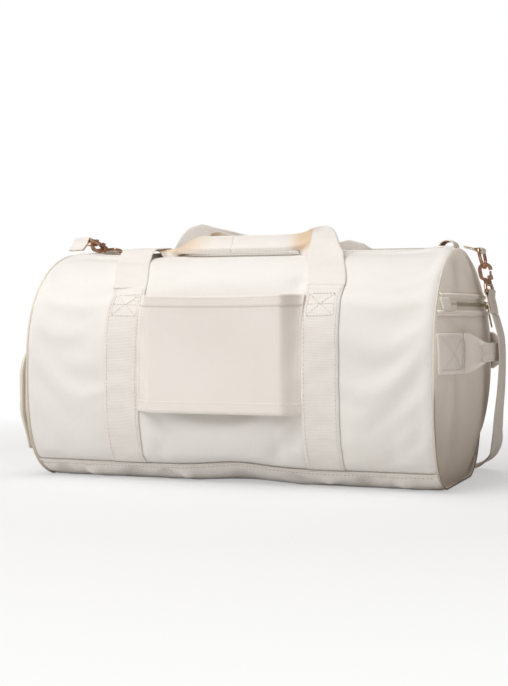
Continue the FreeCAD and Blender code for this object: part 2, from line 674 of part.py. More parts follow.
def hook_gate():
    """Sprung lever that closes the hook between its fork and its nose."""
    top = GATE_PIVOT + V(1.1, 0, HOOK_LENGTH - 4.9)
    lever = bar_prism(1.2, GATE_PIVOT, top)
    knuckle = bar_prism(1.7, GATE_PIVOT - ACROSS * 1.75, GATE_PIVOT + ACROSS * 1.75, 12)
    return fuse(lever, knuckle).cut(rod(GATE_PIN + 0.06, GATE_PIVOT - ACROSS * 3, GATE_PIVOT + ACROSS * 3))


def swivel_eye():
    """Tapered eye for the strap with a headed post that turns in the hook's barrel."""
    top = FOOT_Z - 8.2
    low = -EYE_DROP
    post = bar_prism(1.6, V(0, 0, top), V(0, 0, FOOT_Z - 3), 12)
    head = bar_prism(2.7, V(0, 0, FOOT_Z - 4.4), V(0, 0, FOOT_Z - 2.2), 12)
    lean = 3.0
    bars = [bar_prism(EYE_WIRE, V(0, -EYE_HALF - EYE_WIRE, low), V(0, EYE_HALF + EYE_WIRE, low), 8),
            bar_prism(EYE_WIRE, V(0, -EYE_HALF + lean - EYE_WIRE, top), V(0, EYE_HALF - lean + EYE_WIRE, top))]
    for side in (-1, 1):
        bars.append(bar_prism(EYE_WIRE, V(0, side * EYE_HALF, low), V(0, side * (EYE_HALF - lean), top)))
    return fuse(post, head, *bars)


def make_ends():
    """Ring tab, ring, hook, gate, eye and strap end, the same at both ends, and the tab loop."""
    tab = folded_webbing(RING_WIRE, RING_TAB_TAIL, RING_TAB)
    tab.rotate(MIDDLE, ACROSS, RING_TAB_TURN)
    loop = folded_webbing(EYE_WIRE, STRAP_END, STRAP)
    below = -UP * RING_DROP
    pieces = {"ring_tab": tab, "d_ring": d_ring(), "hook": hook_frame().translated(below),
              "hook_gate": hook_gate().translated(below), "swivel_eye": swivel_eye().translated(below),
              "strap_end": loop.translated(below - UP * EYE_DROP)}
    for side, chain in CHAINS.items():
        for name, piece in pieces.items():
            save(name + "_" + side, chain.place(piece))

    low = TOP_Z + 0.4
    left = V(TAB_LOOP_X - TAB_LOOP_HALF, -12, low)
    right = V(TAB_LOOP_X + TAB_LOOP_HALF, -12, low)
    inside = ALONG * 2.2 + UP * 1.0
    outer = face([line(left, right), arc(right, V(TAB_LOOP_X, -12, low + TAB_LOOP_RISE), left)])
    inner_left = left + inside
    inner_right = right + V(-inside.x, 0, inside.z)
    crest = V(TAB_LOOP_X, -12, low + TAB_LOOP_RISE - 1.5)
    inner = face([line(inner_left, inner_right), arc(inner_right, crest, inner_left)])
    save("tab_loop", outer.cut(inner).extrude(ACROSS * 24))


# ---------------------------------------------------------------- shoulder strap
STRAP_Z = 1.2
END_DROP = RING_DROP + EYE_DROP + STRAP_END + 1.5
LONG_ROUTE = [
    CHAINS["right"].at(END_DROP), V(275, 0, 171), V(278.5, -2, 156), V(279, -2, 132), V(275.5, 9, 104),
    V(269, 32, 78), V(262, 62, 52), V(253, 97, 27), V(232, 134, 8), V(198, 158, STRAP_Z),
    V(158, 172, STRAP_Z), V(120, 184, STRAP_Z), V(86, 206, STRAP_Z), V(52, 232, STRAP_Z), V(14, 240, STRAP_Z)]
SHORT_ROUTE = [
    V(-38, 240, STRAP_Z), V(-78, 238, STRAP_Z), V(-118, 224, STRAP_Z), V(-150, 196, STRAP_Z),
    V(-170, 168, 7), V(-176, 152, 32), V(-179, 146, 66), V(-180, 143, 104), V(-180, 140, 142),
    V(-181, 132, 180), V(-184, 116, 214), CHAINS["left"].at(END_DROP + 30) - UP * 2, CHAINS["left"].at(END_DROP)]


def rounded_path(points):
    """Straight runs joined by arcs that touch them, and the arcs' radii."""
    edges = []
    radii = []
    here = points[0]
    for before, corner, after in zip(points, points[1:], points[2:]):
        inward = (corner - before).normalize()
        onward = (after - corner).normalize()
        half_turn = inward.getAngle(onward) / 2
        trim = 0.45 * min((corner - before).Length, (after - corner).Length)
        radius = trim / math.tan(half_turn)
        bisector = (onward - inward).normalize()
        first = corner - inward * trim
        crest = corner + bisector * (radius / math.cos(half_turn) - radius)
        last = corner + onward * trim
        edges.append(line(here, first))
        edges.append(arc(first, crest, last))
        radii.append(round(radius))
        here = last
    edges.append(line(here, points[-1]))
    return edges, radii


def faceted(sections):
    """Solid through sections of four corners each, with two flat triangles to a side."""
    faces = [polygon(sections[0]), polygon(sections[-1])]
    for here, there in zip(sections, sections[1:]):
        for a, b in ((0, 1), (1, 2)):
            faces.append(polygon([here[a], here[b], there[b]]))
            faces.append(polygon([here[a], there[b], there[a]]))
        for a, b in ((2, 3), (3, 0)):
            faces.append(polygon([here[a], here[b], there[a]]))
            faces.append(polygon([here[b], there[b], there[a]]))
    return Part.makeSolid(Part.makeShell(faces))


def strap_length(name, points, first_width, last_width, turn_from, turn_to):
    """Flat strap along a rounded path; its width turns from one direction to another on the way."""
    edges, radii = rounded_path(points)
    length = sum(edge.Length for edge in edges)
    corners = []
    gone = 0.0
    for number, edge in enumerate(edges):
        shares = (0, 0.5) if number == 0 else (0.5, 1) if number == len(edges) - 1 else (0.5,)
        for share in shares:
            place = edge.FirstParameter + (edge.LastParameter - edge.FirstParameter) * share
            heading = edge.tangentAt(place)
            done = (gone + edge.Length * share) / length
            turned = min(max((done - turn_from) / (turn_to - turn_from), 0), 1)
            wide = first_width * (1 - turned) + last_width * turned
            wide = (wide - heading * wide.dot(heading)).normalize() * STRAP / 2
            thick = heading.cross(wide).normalize() * STRAP_THICK / 2
            here = edge.valueAt(place)
            corners.append([here - wide - thick, here + wide - thick, here + wide + thick, here - wide + thick])
        gone += edge.Length
    solid = faceted(corners)
    save(name, solid)
    share = solid.Volume / (STRAP * STRAP_THICK * length)
    print(name, "length", round(length), "radii", radii, "volume share", round(share, 3))


def make_adjuster():
    """Three-bar slide between the two lengths of strap, flat on the floor."""
    middle = (LONG_ROUTE[-1] + SHORT_ROUTE[0]) / 2
    frame = block(-21, 21, -23, 23, 0.4, 3.4)
    frame = frame.makeFillet(5, [e for e in frame.Edges if e.BoundBox.ZLength > 2.9])
    for x in (-17.5, 2.5):
        frame = frame.cut(block(x, x + 15, -19, 19, -1, 5))
    frame.translate(V(middle.x, middle.y, 0))
    save("strap_adjuster", frame)


make_body()
make_main_zip()
make_bands()
make_sleeve()
make_handles()
make_right_end()
make_grab_handle()
make_left_end()
make_ends()
strap_length("strap_long", LONG_ROUTE, CHAINS["right"].across, ACROSS, 0.3, 0.6)
strap_length("strap_short", SHORT_ROUTE, ACROSS, CHAINS["left"].across, 0.15, 0.4)
make_adjuster()
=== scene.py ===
"""Soft travel duffel bag that slides over the handle of a suitcase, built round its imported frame.

All lengths are in metres. X runs along the bag to the pocket end, the trolley sleeve is on -Y, and +Z is up.
"""
import math
import bmesh
import bpy
import numpy as np
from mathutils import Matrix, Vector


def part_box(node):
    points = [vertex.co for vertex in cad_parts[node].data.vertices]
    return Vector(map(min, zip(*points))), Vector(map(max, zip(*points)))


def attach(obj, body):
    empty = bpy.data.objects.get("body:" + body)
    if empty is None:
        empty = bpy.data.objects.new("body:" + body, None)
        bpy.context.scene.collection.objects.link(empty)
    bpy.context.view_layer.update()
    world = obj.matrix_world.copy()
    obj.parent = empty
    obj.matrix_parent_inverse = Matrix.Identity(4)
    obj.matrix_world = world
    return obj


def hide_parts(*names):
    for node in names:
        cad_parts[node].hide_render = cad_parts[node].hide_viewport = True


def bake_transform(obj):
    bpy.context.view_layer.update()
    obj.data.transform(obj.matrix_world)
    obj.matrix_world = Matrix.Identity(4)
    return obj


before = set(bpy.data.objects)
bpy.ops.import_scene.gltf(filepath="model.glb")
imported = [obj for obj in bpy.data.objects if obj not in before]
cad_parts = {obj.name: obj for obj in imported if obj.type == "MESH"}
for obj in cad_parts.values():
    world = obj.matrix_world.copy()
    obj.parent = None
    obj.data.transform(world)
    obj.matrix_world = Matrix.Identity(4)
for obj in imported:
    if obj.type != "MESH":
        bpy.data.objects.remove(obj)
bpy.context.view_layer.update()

# ---- sizes from the frame ----
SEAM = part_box("base_panel")[1][0]
PIPING_STANDS = 0.0016
TOP_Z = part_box("right_seam_piping")[1][2] - PIPING_STANDS
HALF_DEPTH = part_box("right_seam_piping")[1][1] - PIPING_STANDS
BASE_SEAM_Z = 0.020
BAND_X = (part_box("front_band_right")[0][0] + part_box("front_band_right")[1][0]) / 2
BAND_HALF = (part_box("front_band_right")[1][0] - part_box("front_band_right")[0][0]) / 2
BAND_TOP_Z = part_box("front_band_right")[1][2]
SLEEVE_LOW, SLEEVE_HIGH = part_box("trolley_sleeve")
DOME_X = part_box("right_end_panel")[1][0]
FLAP_LOW, FLAP_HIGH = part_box("shoe_flap")
ZIP_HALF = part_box("main_zip_coil")[1][0]
ZIP_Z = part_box("main_zip_coil")[0][2]

# ---- the section of the bag ----
WIDEST_Z = 0.140
BASE_DROP = 0.144        # the lower half would reach this far down, but the flat base cuts it off
BASE_POWER = 3.4         # how square the lower half is
END_POWER = 2.1          # how square the upper half is at the end seams
MIDDLE_POWER = 2.75      # and half way between them
ZIP_SLOT = 0.008         # front and back panel stop about this far from the middle of the top
DOME_Z = 0.134           # the right end bows out most at this height
DOME_RADIUS = 0.300
ROLL = 0.017             # the end panel turns round this fast beside its seam
POCKET_Z = (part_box("pocket_zip_coil")[0][2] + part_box("pocket_zip_coil")[1][2]) / 2
POCKET_HALF = 0.090
WEB = 0.0014             # thickness of the webbing


# ================================================================ shader helper
class Wire:
    """A shader socket on which Python arithmetic adds Math nodes."""

    def __init__(self, finish, socket):
        self.finish = finish
        self.socket = socket

    def _math(self, operation, *values):
        return self.finish.add("ShaderNodeMath", {"operation": operation}, dict(enumerate(values)))

    def __add__(self, other):
        return self._math("ADD", self, other)

    def __sub__(self, other):
        return self._math("SUBTRACT", self, other)

    def __rsub__(self, other):
        return self._math("SUBTRACT", other, self)

    def __mul__(self, other):
        return self._math("MULTIPLY", self, other)

    def __truediv__(self, other):
        return self._math("DIVIDE", self, other)

    def __pow__(self, other):
        return self._math("POWER", self, other)

    __radd__ = __add__
    __rmul__ = __mul__

    def sine(self):
        return self._math("SINE", self)

    def size(self):
        return self._math("ABSOLUTE", self)

    def clipped(self):
        return self.finish.add("ShaderNodeClamp", {}, {"Value": self})

    def fract(self):
        return self._math("FRACT", self)


class Shading:
    """The node tree of a material or a world, and the one way that nodes are added to it."""

    def __init__(self, owner):
        owner.use_nodes = True
        self.tree = owner.node_tree

    def add(self, kind, settings, inputs, output=0):
        """Add a node: its settings first, then the values or links of its sockets."""
        node = self.tree.nodes.new(kind)
        for key, value in settings.items():
            setattr(node, key, value)
        self.plug(node, inputs)
        return Wire(self, node.outputs[output])

    def plug(self, node, inputs):
        """Give a node's sockets their values or links."""
        for key, value in inputs.items():
            if isinstance(value, Wire):
                self.tree.links.new(value.socket, node.inputs[key])
            else:
                node.inputs[key].default_value = value

    def seen(self):
        """1 where the camera looks straight here, 0 where only bounced light does."""
        return self.add("ShaderNodeLightPath", {}, {}, "Is Camera Ray")

    def blended(self, factor, first, second):
        """Mix of two shaders."""
        return self.add("ShaderNodeMixShader", {}, {0: factor, 1: first, 2: second})


class Finish(Shading):
    """One material: a Principled shader whose sockets take numbers, colours or wires."""

    def __init__(self, name, **sockets):
        self.material = bpy.data.materials.new(name)
        super().__init__(self.material)
        self.shader = self.tree.nodes["Principled BSDF"]
        self.set(**sockets)

    def set(self, **sockets):
        """Values or links for the Principled shader; an underscore in a name stands for a space."""
        self.plug(self.shader, {key.replace("_", " "): value for key, value in sockets.items()})

    def part(self, vector, number):
        """One of the three parts of a vector."""
        return self.add("ShaderNodeSeparateXYZ", {}, {0: vector}, number)

    def uv(self):
        """The two distances along a piece's own cloth, in metres."""
        place = self.add("ShaderNodeUVMap", {"uv_map": "cloth"}, {})
        return self.part(place, 0), self.part(place, 1)

    def place(self):
        """Place of each point in its piece's own coordinates."""
        return self.add("ShaderNodeTexCoord", {}, {}, "Object")

    def noise(self, scale, detail=3.0, rough=0.55):
        """Soft random values from 0 to 1 that are fixed to the surface."""
        inputs = {"Vector": self.place(), "Scale": scale, "Detail": detail, "Roughness": rough}
        return self.add("ShaderNodeTexNoise", {}, inputs)

    def mix(self, factor, first, second):
        """Mix of two colours, through the Mix node's three colour sockets."""
        return self.add("ShaderNodeMix", {"data_type": "RGBA"}, {0: factor, 6: first, 7: second}, 2)

    def bump(self, height, distance, strength=1.0, under=None):
        """Fine relief, laid over another relief where one is given."""
        inputs = {"Height": height, "Distance": distance, "Strength": strength}
        if under is not None:
            inputs["Normal"] = under
        return self.add("ShaderNodeBump", {}, inputs)


def tone(red, green, blue):
    """Colour given as it looks on screen, from 0 to 255."""
    return (*(((part / 255 + 0.055) / 1.055) ** 2.4 for part in (red, green, blue)), 1.0)


def cloth_finish(name, light, dark, thread=0.00042, rough=0.62, grime=0.35, low_shade=None):
    """Coated plain weave: threads over and under, soft tone changes and a slight unevenness.

    The last argument, where given, is a painted shade: the darker colour that the cloth is mixed to towards
    the base.
    """
    finish = Finish(name, Specular_IOR_Level=0.32, Sheen_Weight=0.12, Sheen_Roughness=0.45)
    along, across = finish.uv()
    turn = 2 * math.pi / (thread * 2)
    warp = (along * turn).sine()
    weft = (across * turn).sine()
    over = warp * weft
    threads = warp * warp * over.clipped() + weft * weft * (over * -1.0).clipped()
    cloud = finish.noise(9.0, 4.0, 0.6)
    fleck = finish.noise(170.0, 2.0, 0.6)
    shade = ((cloud - 0.42) * 2.2).clipped() * grime + (fleck - 0.5) * 0.18
    colour = finish.mix(shade.clipped(), light, dark)
    # Painted shade: towards the base the colour darkens, with a cloudy upper edge.
    if low_shade:
        height = finish.part(finish.place(), 2)
        low = ((LOW_SHADE_TOP - height) / LOW_SHADE_DEPTH + (cloud - 0.5) * 0.6).clipped()
        colour = finish.mix(low, colour, low_shade)
    finish.set(Base_Color=colour)
    finish.set(Roughness=rough + (cloud - 0.5) * 0.16 - threads * 0.05)
    uneven = finish.bump(finish.noise(26.0, 3.0), 0.0005)
    finish.set(Normal=finish.bump(threads + fleck * 0.35, 0.00006, 1.0, uneven))
    return finish.material


# Painted shade towards the base of the end panels.
LOW_SHADE_TOP = 0.150         # the darker tone begins at this height
LOW_SHADE_DEPTH = 0.105       # and is full this far below it
# Painted shade with a warm cast: the tan that folded webbing gets on its inner faces, for the shade and
# bounced light inside the folds.
PAINTED_FOLD_SHADE = tone(229, 203, 172)


def webbing_finish(name, light, dark, rib=0.0016):
    """Woven strap: ribs across its width and a finer thread along it, with painted shade in the hollows
    between the ribs and, where a piece marks it, a warm painted shade inside its folds.
    """
    finish = Finish(name, Specular_IOR_Level=0.3, Sheen_Weight=0.15, Sheen_Roughness=0.4)
    along, across = finish.uv()
    cross_rib = ((along * (math.pi / rib)).sine()).size()
    thread = ((across * (2 * math.pi / 0.0011)).sine() * 0.5 + 0.5)
    worn = finish.noise(30.0, 4.0, 0.6)
    # Painted shade: the colour darkens in the hollows between the ribs.
    rib_hollow_shade = (1 - cross_rib) ** 2.0
    shade = rib_hollow_shade * 0.4 + thread * 0.08 + ((worn - 0.45) * 1.8).clipped() * 0.35
    # Painted shade: where a piece marks its folds, the colour is mixed towards a warm tan for the shade
    # inside the fold.
    fold_shade = finish.add("ShaderNodeAttribute", {"attribute_name": "fold_shade"}, {}, "Fac")
    plain = finish.mix(shade.clipped(), light, dark)
    finish.set(Base_Color=finish.mix((fold_shade * (0.8 + worn * 0.3)).clipped(), plain, PAINTED_FOLD_SHADE))
    finish.set(Roughness=0.6 + (worn - 0.5) * 0.2)
    uneven = finish.bump(worn, 0.0004)
    finish.set(Normal=finish.bump(cross_rib + thread * 0.3, 0.00022, 1.0, uneven))
    return finish.material


def thread_finish(name, light, dark):
    """Twisted sewing thread."""
    finish = Finish(name, Specular_IOR_Level=0.4)
    twist = finish.noise(900.0, 1.0)
    finish.set(Base_Color=finish.mix(twist, light, dark), Roughness=0.5 + twist * 0.15)
    finish.set(Normal=finish.bump(twist, 0.00008))
    return finish.material


def tape_finish(name, light, dark):
    """Herringbone zip tape."""
    finish = Finish(name, Specular_IOR_Level=0.3)
    along, across = finish.uv()
    zig = ((across * 160.0).fract() - 0.5).size() * 0.004
    rows = ((along + zig) * (2 * math.pi / 0.0009)).sine() * 0.5 + 0.5
    worn = finish.noise(60.0, 3.0)
    finish.set(Base_Color=finish.mix((rows * 0.35 + worn * 0.4).clipped(), light, dark))
    finish.set(Roughness=0.68 + worn * 0.1, Normal=finish.bump(rows, 0.00012))
    return finish.material


def metal_finish(name, light, dark, rough=0.22):
    """Plated cast metal, duller and darker where hands and rings rub it."""
    finish = Finish(name, Metallic=1.0, Specular_IOR_Level=0.5, Coat_Weight=0.15, Coat_Roughness=0.15)
    worn = finish.noise(210.0, 4.0, 0.65)
    fine = finish.noise(1500.0, 2.0)
    rub = ((worn - 0.42) * 2.4).clipped()
    finish.set(Base_Color=finish.mix(rub, light, dark))
    finish.set(Roughness=rough + rub * 0.16 + fine * 0.05)
    finish.set(Normal=finish.bump(worn + fine * 0.2, 0.00006))
    return finish.material


def plastic_finish(name, light, dark, rough=0.4):
    """Moulded nylon with a slight sparkle grain."""
    finish = Finish(name, Specular_IOR_Level=0.45)
    grain = finish.noise(700.0, 3.0)
    finish.set(Base_Color=finish.mix(grain, light, dark), Roughness=rough + grain * 0.15)
    finish.set(Normal=finish.bump(grain, 0.00005))
    return finish.material


MATERIALS = {
    "bag_fabric": cloth_finish("bag_fabric", tone(238, 235, 230), tone(222, 216, 207)),
    # The end panels' cloth is a lighter, warmer copy of the bag fabric: painted light with a warm cast, and
    # painted shade towards the base.
    "end_fabric_painted_light_and_shade": cloth_finish(
        "end_fabric_painted_light_and_shade", tone(248, 241, 231), tone(232, 222, 209), low_shade=tone(207, 196, 183)
    ),
    # The base's cloth is a lighter copy of the bag fabric: painted light.
    "base_fabric_painted_light": cloth_finish("base_fabric_painted_light", tone(253, 248, 243), tone(241, 234, 227)),
    "lining_fabric": cloth_finish("lining_fabric", tone(206, 198, 184), tone(178, 170, 156), 0.0005, 0.5),
    "sleeve_fabric": cloth_finish("sleeve_fabric", tone(240, 233, 227), tone(226, 217, 210)),
    "webbing": webbing_finish("webbing", tone(240, 235, 230), tone(212, 203, 196)),
    # The grab handle's webbing is a lighter copy of the webbing: painted light.
    "grab_webbing_painted_light": webbing_finish("grab_webbing_painted_light", tone(254, 247, 241), tone(234, 224, 216)),
    "strap_webbing": webbing_finish("strap_webbing", tone(232, 225, 216), tone(196, 186, 174), 0.0013),
    "zip_tape": tape_finish("zip_tape", tone(236, 230, 218), tone(212, 204, 188)),
    "zip_teeth": plastic_finish("zip_teeth", tone(192, 182, 156), tone(152, 142, 116)),
    "zip_metal": metal_finish("zip_metal", tone(190, 168, 122), tone(104, 88, 58), 0.26),
    "ring_metal": metal_finish("ring_metal", tone(214, 172, 146), tone(104, 74, 58), 0.2),
    "stiffener": plastic_finish("stiffener", tone(70, 70, 72), tone(48, 48, 50), 0.6),
    # The seam cord is a real cord whose darker colour is painted shade for the shadow line in the end seams.
    "seam_cord_painted_shade": thread_finish("seam_cord_painted_shade", tone(172, 160, 147), tone(134, 122, 110)),
    "stitching": thread_finish("stitching", tone(240, 236, 230), tone(205, 198, 188)),
}


# ================================================================ mesh helpers
def shown(name, mesh, body, slot, *stands_for):
    """Put a finished mesh in the scene on its body, with its material and the nodes that it replaces."""
    piece = bpy.data.objects.new(name, mesh)
    bpy.context.scene.collection.objects.link(piece)
    mesh.materials.append(MATERIALS[slot])
    if stands_for:
        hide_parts(*stands_for)
    if body:
        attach(piece, body)
    return piece


def mesh_of(name, points, faces, uv=None, sharp=0.9):
    """Mesh from points and faces, smooth except at edges sharper than an angle."""
    mesh = bpy.data.meshes.new(name)
    mesh.from_pydata(np.asarray(points).tolist(), [], faces)
    whole = bmesh.new()
    whole.from_mesh(mesh)
    bmesh.ops.recalc_face_normals(whole, faces=whole.faces)
    whole.to_mesh(mesh)
    whole.free()
    mesh.update()
    if uv is not None:
        layer = mesh.uv_layers.new(name="cloth")
        corner = np.empty(len(mesh.loops), int)
        mesh.loops.foreach_get("vertex_index", corner)
        layer.data.foreach_set("uv", np.asarray(uv, float)[corner].ravel())
    mesh.shade_smooth()
    mesh.set_sharp_from_angle(angle=sharp)
    return mesh


def unit(vectors):
    """The same directions with length 1."""
    return vectors / np.maximum(np.linalg.norm(vectors, axis=-1, keepdims=True), 1e-12)


def travelled(path):
    """How far each point lies along its path."""
    return np.concatenate([[0], np.cumsum(np.linalg.norm(np.diff(path, axis=0), axis=1))])


def fitted(where, given, points):
    """Points at new places along a line, each of their parts between the given ones."""
    return np.stack([np.interp(where, given, part) for part in np.asarray(points).T], axis=-1)


def smooth(t):
    """From 0 to 1 with a level start and end."""
    t = np.clip(t, 0, 1)
    return t * t * (3 - 2 * t)


def normals_of(grid):
    """Outward directions of a grid of points, right-handed from its first to its second way."""
    return unit(np.cross(np.gradient(grid, axis=0), np.gradient(grid, axis=1)))


def distances(grid):
    """Each point's distance along the two ways of its grid."""
    first = np.linalg.norm(np.diff(grid, axis=0), axis=2).mean(axis=1)
    second = np.linalg.norm(np.diff(grid, axis=1), axis=2).mean(axis=0)
    along = np.concatenate([[0], np.cumsum(first)])
    across = np.concatenate([[0], np.cumsum(second)])
    return np.stack(np.meshgrid(along, across, indexing="ij"), axis=2)


def quads(rows, columns, start=0, closed=False):
    """Faces of a grid of points from a first one on; closed joins the last column to the first."""
    faces = []
    for i in range(rows - 1):
        for j in range(columns if closed else columns - 1):
            a = start + i * columns + j
            b = start + i * columns + (j + 1) % columns
            faces.append((a, a + columns, b + columns, b))
    return faces


def slab(name, grid, thickness, directions=None):
    """Sheet of an even thickness: the grid is its outer face, and its rim is rounded."""
    rows, columns = grid.shape[:2]
    if directions is None:
        directions = normals_of(grid)
    flat = distances(grid)
    inner = grid - directions * thickness
    middle = (grid + inner) / 2
    rim = [(i, 0) for i in range(rows)] + [(rows - 1, j) for j in range(1, columns)]
    rim += [(i, columns - 1) for i in range(rows - 2, -1, -1)] + [(0, j) for j in range(columns - 2, 0, -1)]
    ring = np.array([middle[i, j] for i, j in rim])
    toward = np.array([middle[min(max(i, 1), rows - 2), min(max(j, 1), columns - 2)] for i, j in rim])
    ring = ring + unit(ring - toward) * thickness * 0.45
    size = rows * columns
    faces = quads(rows, columns)
    faces += [tuple(reversed([size + k for k in face])) for face in quads(rows, columns)]
    count = len(rim)
    for k in range(count):
        n = (k + 1) % count
        a, b = rim[k][0] * columns + rim[k][1], rim[n][0] * columns + rim[n][1]
        faces.append((a, 2 * size + k, 2 * size + n, b))
        faces.append((2 * size + k, size + a, size + b, 2 * size + n))
    flat_rim = np.array([flat[i, j] for i, j in rim])
    points = np.concatenate([grid.reshape(-1, 3), inner.reshape(-1, 3), ring])
    uv = np.concatenate([flat.reshape(-1, 2), flat.reshape(-1, 2), flat_rim])
    return mesh_of(name, points, faces, uv, 1.2)


def sewn(name, grid, thickness, slot, *stands_for, body="bag", directions=None, fold_shade_share=None):
    """Sheet of fabric put in the scene. The last argument marks painted shade: where folded webbing gets a
    warm, darker tan for the shade inside its folds.
    """
    mesh = slab(name, grid, thickness, directions)
    if fold_shade_share is not None:
        layer = mesh.attributes.new("fold_shade", "FLOAT", "POINT")
        layer.data.foreach_set("value", fold_shade_share)
    return shown(name, mesh, body, slot, *stands_for)


def tube(name, path, radius, sides=8, closed=False):
    """Round cord of fabric or wire along a path of points; radius may change along it."""
    path = np.asarray(path, float)
    if closed:
        ahead, behind = np.roll(path, -1, axis=0), np.roll(path, 1, axis=0)
        heading = unit(ahead - behind)
    else:
        heading = unit(np.gradient(path, axis=0))
    radius = np.broadcast_to(radius, len(path))
    side = np.cross(heading[0], (0.0, 0.0, 1.0))
    if np.linalg.norm(side) < 0.1:
        side = np.cross(heading[0], (1.0, 0.0, 0.0))
    turns = 2 * math.pi * np.arange(sides)[:, None] / sides
    rows = len(path)
    grid = np.zeros((rows, sides, 3))
    for k in range(rows):
        side = unit(side - heading[k] * np.dot(side, heading[k]))
        other = np.cross(heading[k], side)
        grid[k] = path[k] + radius[k] * (side * np.cos(turns) + other * np.sin(turns))
    faces = quads(rows, sides, closed=True)
    if closed:
        last = (rows - 1) * sides
        faces += [(last + j, j, (j + 1) % sides, last + (j + 1) % sides) for j in range(sides)]
    else:
        faces.append(tuple(range(sides)))
        faces.append(tuple((rows - 1) * sides + j for j in reversed(range(sides))))
    around = np.linspace(0, 2 * math.pi, sides) * radius.mean()
    uv = np.stack(np.meshgrid(travelled(path), around, indexing="ij"), axis=2)
    return mesh_of(name, grid.reshape(-1, 3), faces, uv.reshape(-1, 2))


def resampled(path, step, closed=False):
    """The same line with points an even distance apart."""
    path = np.asarray(path, float)
    if closed:
        path = np.concatenate([path, path[:1]])
    gone = travelled(path[:, :3])
    count = max(int(round(gone[-1] / step)), 2)
    line = fitted(np.linspace(0, gone[-1], count + 1), gone, path)
    return line[:-1] if closed else line


# A stitch is four five-sided rings: how far along it each lies, how thick it is and how high it stands.
STITCH_RINGS = ((0.0, 0.35, -0.6), (0.25, 1.0, 0.45), (0.75, 1.0, 0.45), (1.0, 0.35, -0.6))


def stitches(name, rows, body, length=0.0028, gap=0.0016, radius=0.00034):
    """Rows of separate stitches as one piece. Each row is a path with its outward directions."""
    along, swell, rise = np.array(STITCH_RINGS).T
    turns = 2 * math.pi / 5 * np.arange(5)[:, None]
    points = []
    faces = []
    for path, outward in rows:
        path = np.asarray(path, float)
        gone = travelled(path)
        outward = np.broadcast_to(outward, path.shape)
        for n in range(int(gone[-1] / (length + gap))):
            ends = along * length + n * (length + gap) + gap / 2
            line = fitted(ends, gone, path)
            up = unit(fitted(ends[1], gone, outward))
            side = np.cross(unit(line[3] - line[0]), up)
            spokes = side * np.cos(turns) + up * np.sin(turns)
            start = len(points)
            for k in range(4):
                points.extend(line[k] + up * radius * rise[k] + spokes * radius * swell[k])
            faces += quads(4, 5, start, closed=True)
            faces.append(tuple(range(start + 4, start - 1, -1)))
            faces.append(tuple(range(start + 15, start + 20)))
    return shown(name, mesh_of(name, points, faces), body, "stitching")


# ================================================================ the shape of the bag
def upper_power(x):
    """The top is squarer in the middle of the bag than at its two end seams."""
    return END_POWER + (MIDDLE_POWER - END_POWER) * (1 - np.abs(x / SEAM) ** 3)


def half_outline(power):
    """Lower and upper half of the front outline as (y, z), each with its distance from 0 to 1."""
    corner = math.asin((WIDEST_Z / BASE_DROP) ** (BASE_POWER / 2))
    low = corner * np.linspace(1, 0, 160) ** 1.7
    lower = np.stack([-HALF_DEPTH * np.cos(low) ** (2 / BASE_POWER),
                      WIDEST_Z - BASE_DROP * np.sin(low) ** (2 / BASE_POWER)], axis=1)
    high = np.linspace(0, math.pi / 2, 200)
    upper = np.stack([-HALF_DEPTH * np.abs(np.cos(high)) ** (2 / power),
                      WIDEST_Z + (TOP_Z - WIDEST_Z) * np.sin(high) ** (2 / power)], axis=1)
    return [(half, travelled(half) / travelled(half)[-1]) for half in (lower, upper)]


def outline_at(x, v):
    """Points round the section at a station.

    v is 0 at the front base corner, 1 at the widest height, 2 at the top, 4 at the back base corner
    and 5 at the front again.
    """
    (lower, low_gone), (upper, high_gone) = half_outline(float(upper_power(x)))
    v = np.asarray(v, float)
    front = np.where(v > 2, 4 - v, v)
    below = fitted(front, low_gone, lower)
    above = fitted(front - 1, high_gone, upper)
    y, z = np.moveaxis(np.where((front < 1)[..., None], below, above), -1, 0)
    y = np.where(v > 2, -y, y)
    base = v > 4
    y = np.where(base, -lower[0, 0] * (1 - 2 * (v - 4)), y)
    return np.stack([np.full(v.shape, float(x)), y, np.where(base, 0.0, z)], axis=-1)


def v_of(z, x=0.0):
    """Where on the front of the section a height lies."""
    values = np.linspace(0.001, 1.999, 1200)
    return float(np.interp(z, outline_at(x, values)[:, 2], values))


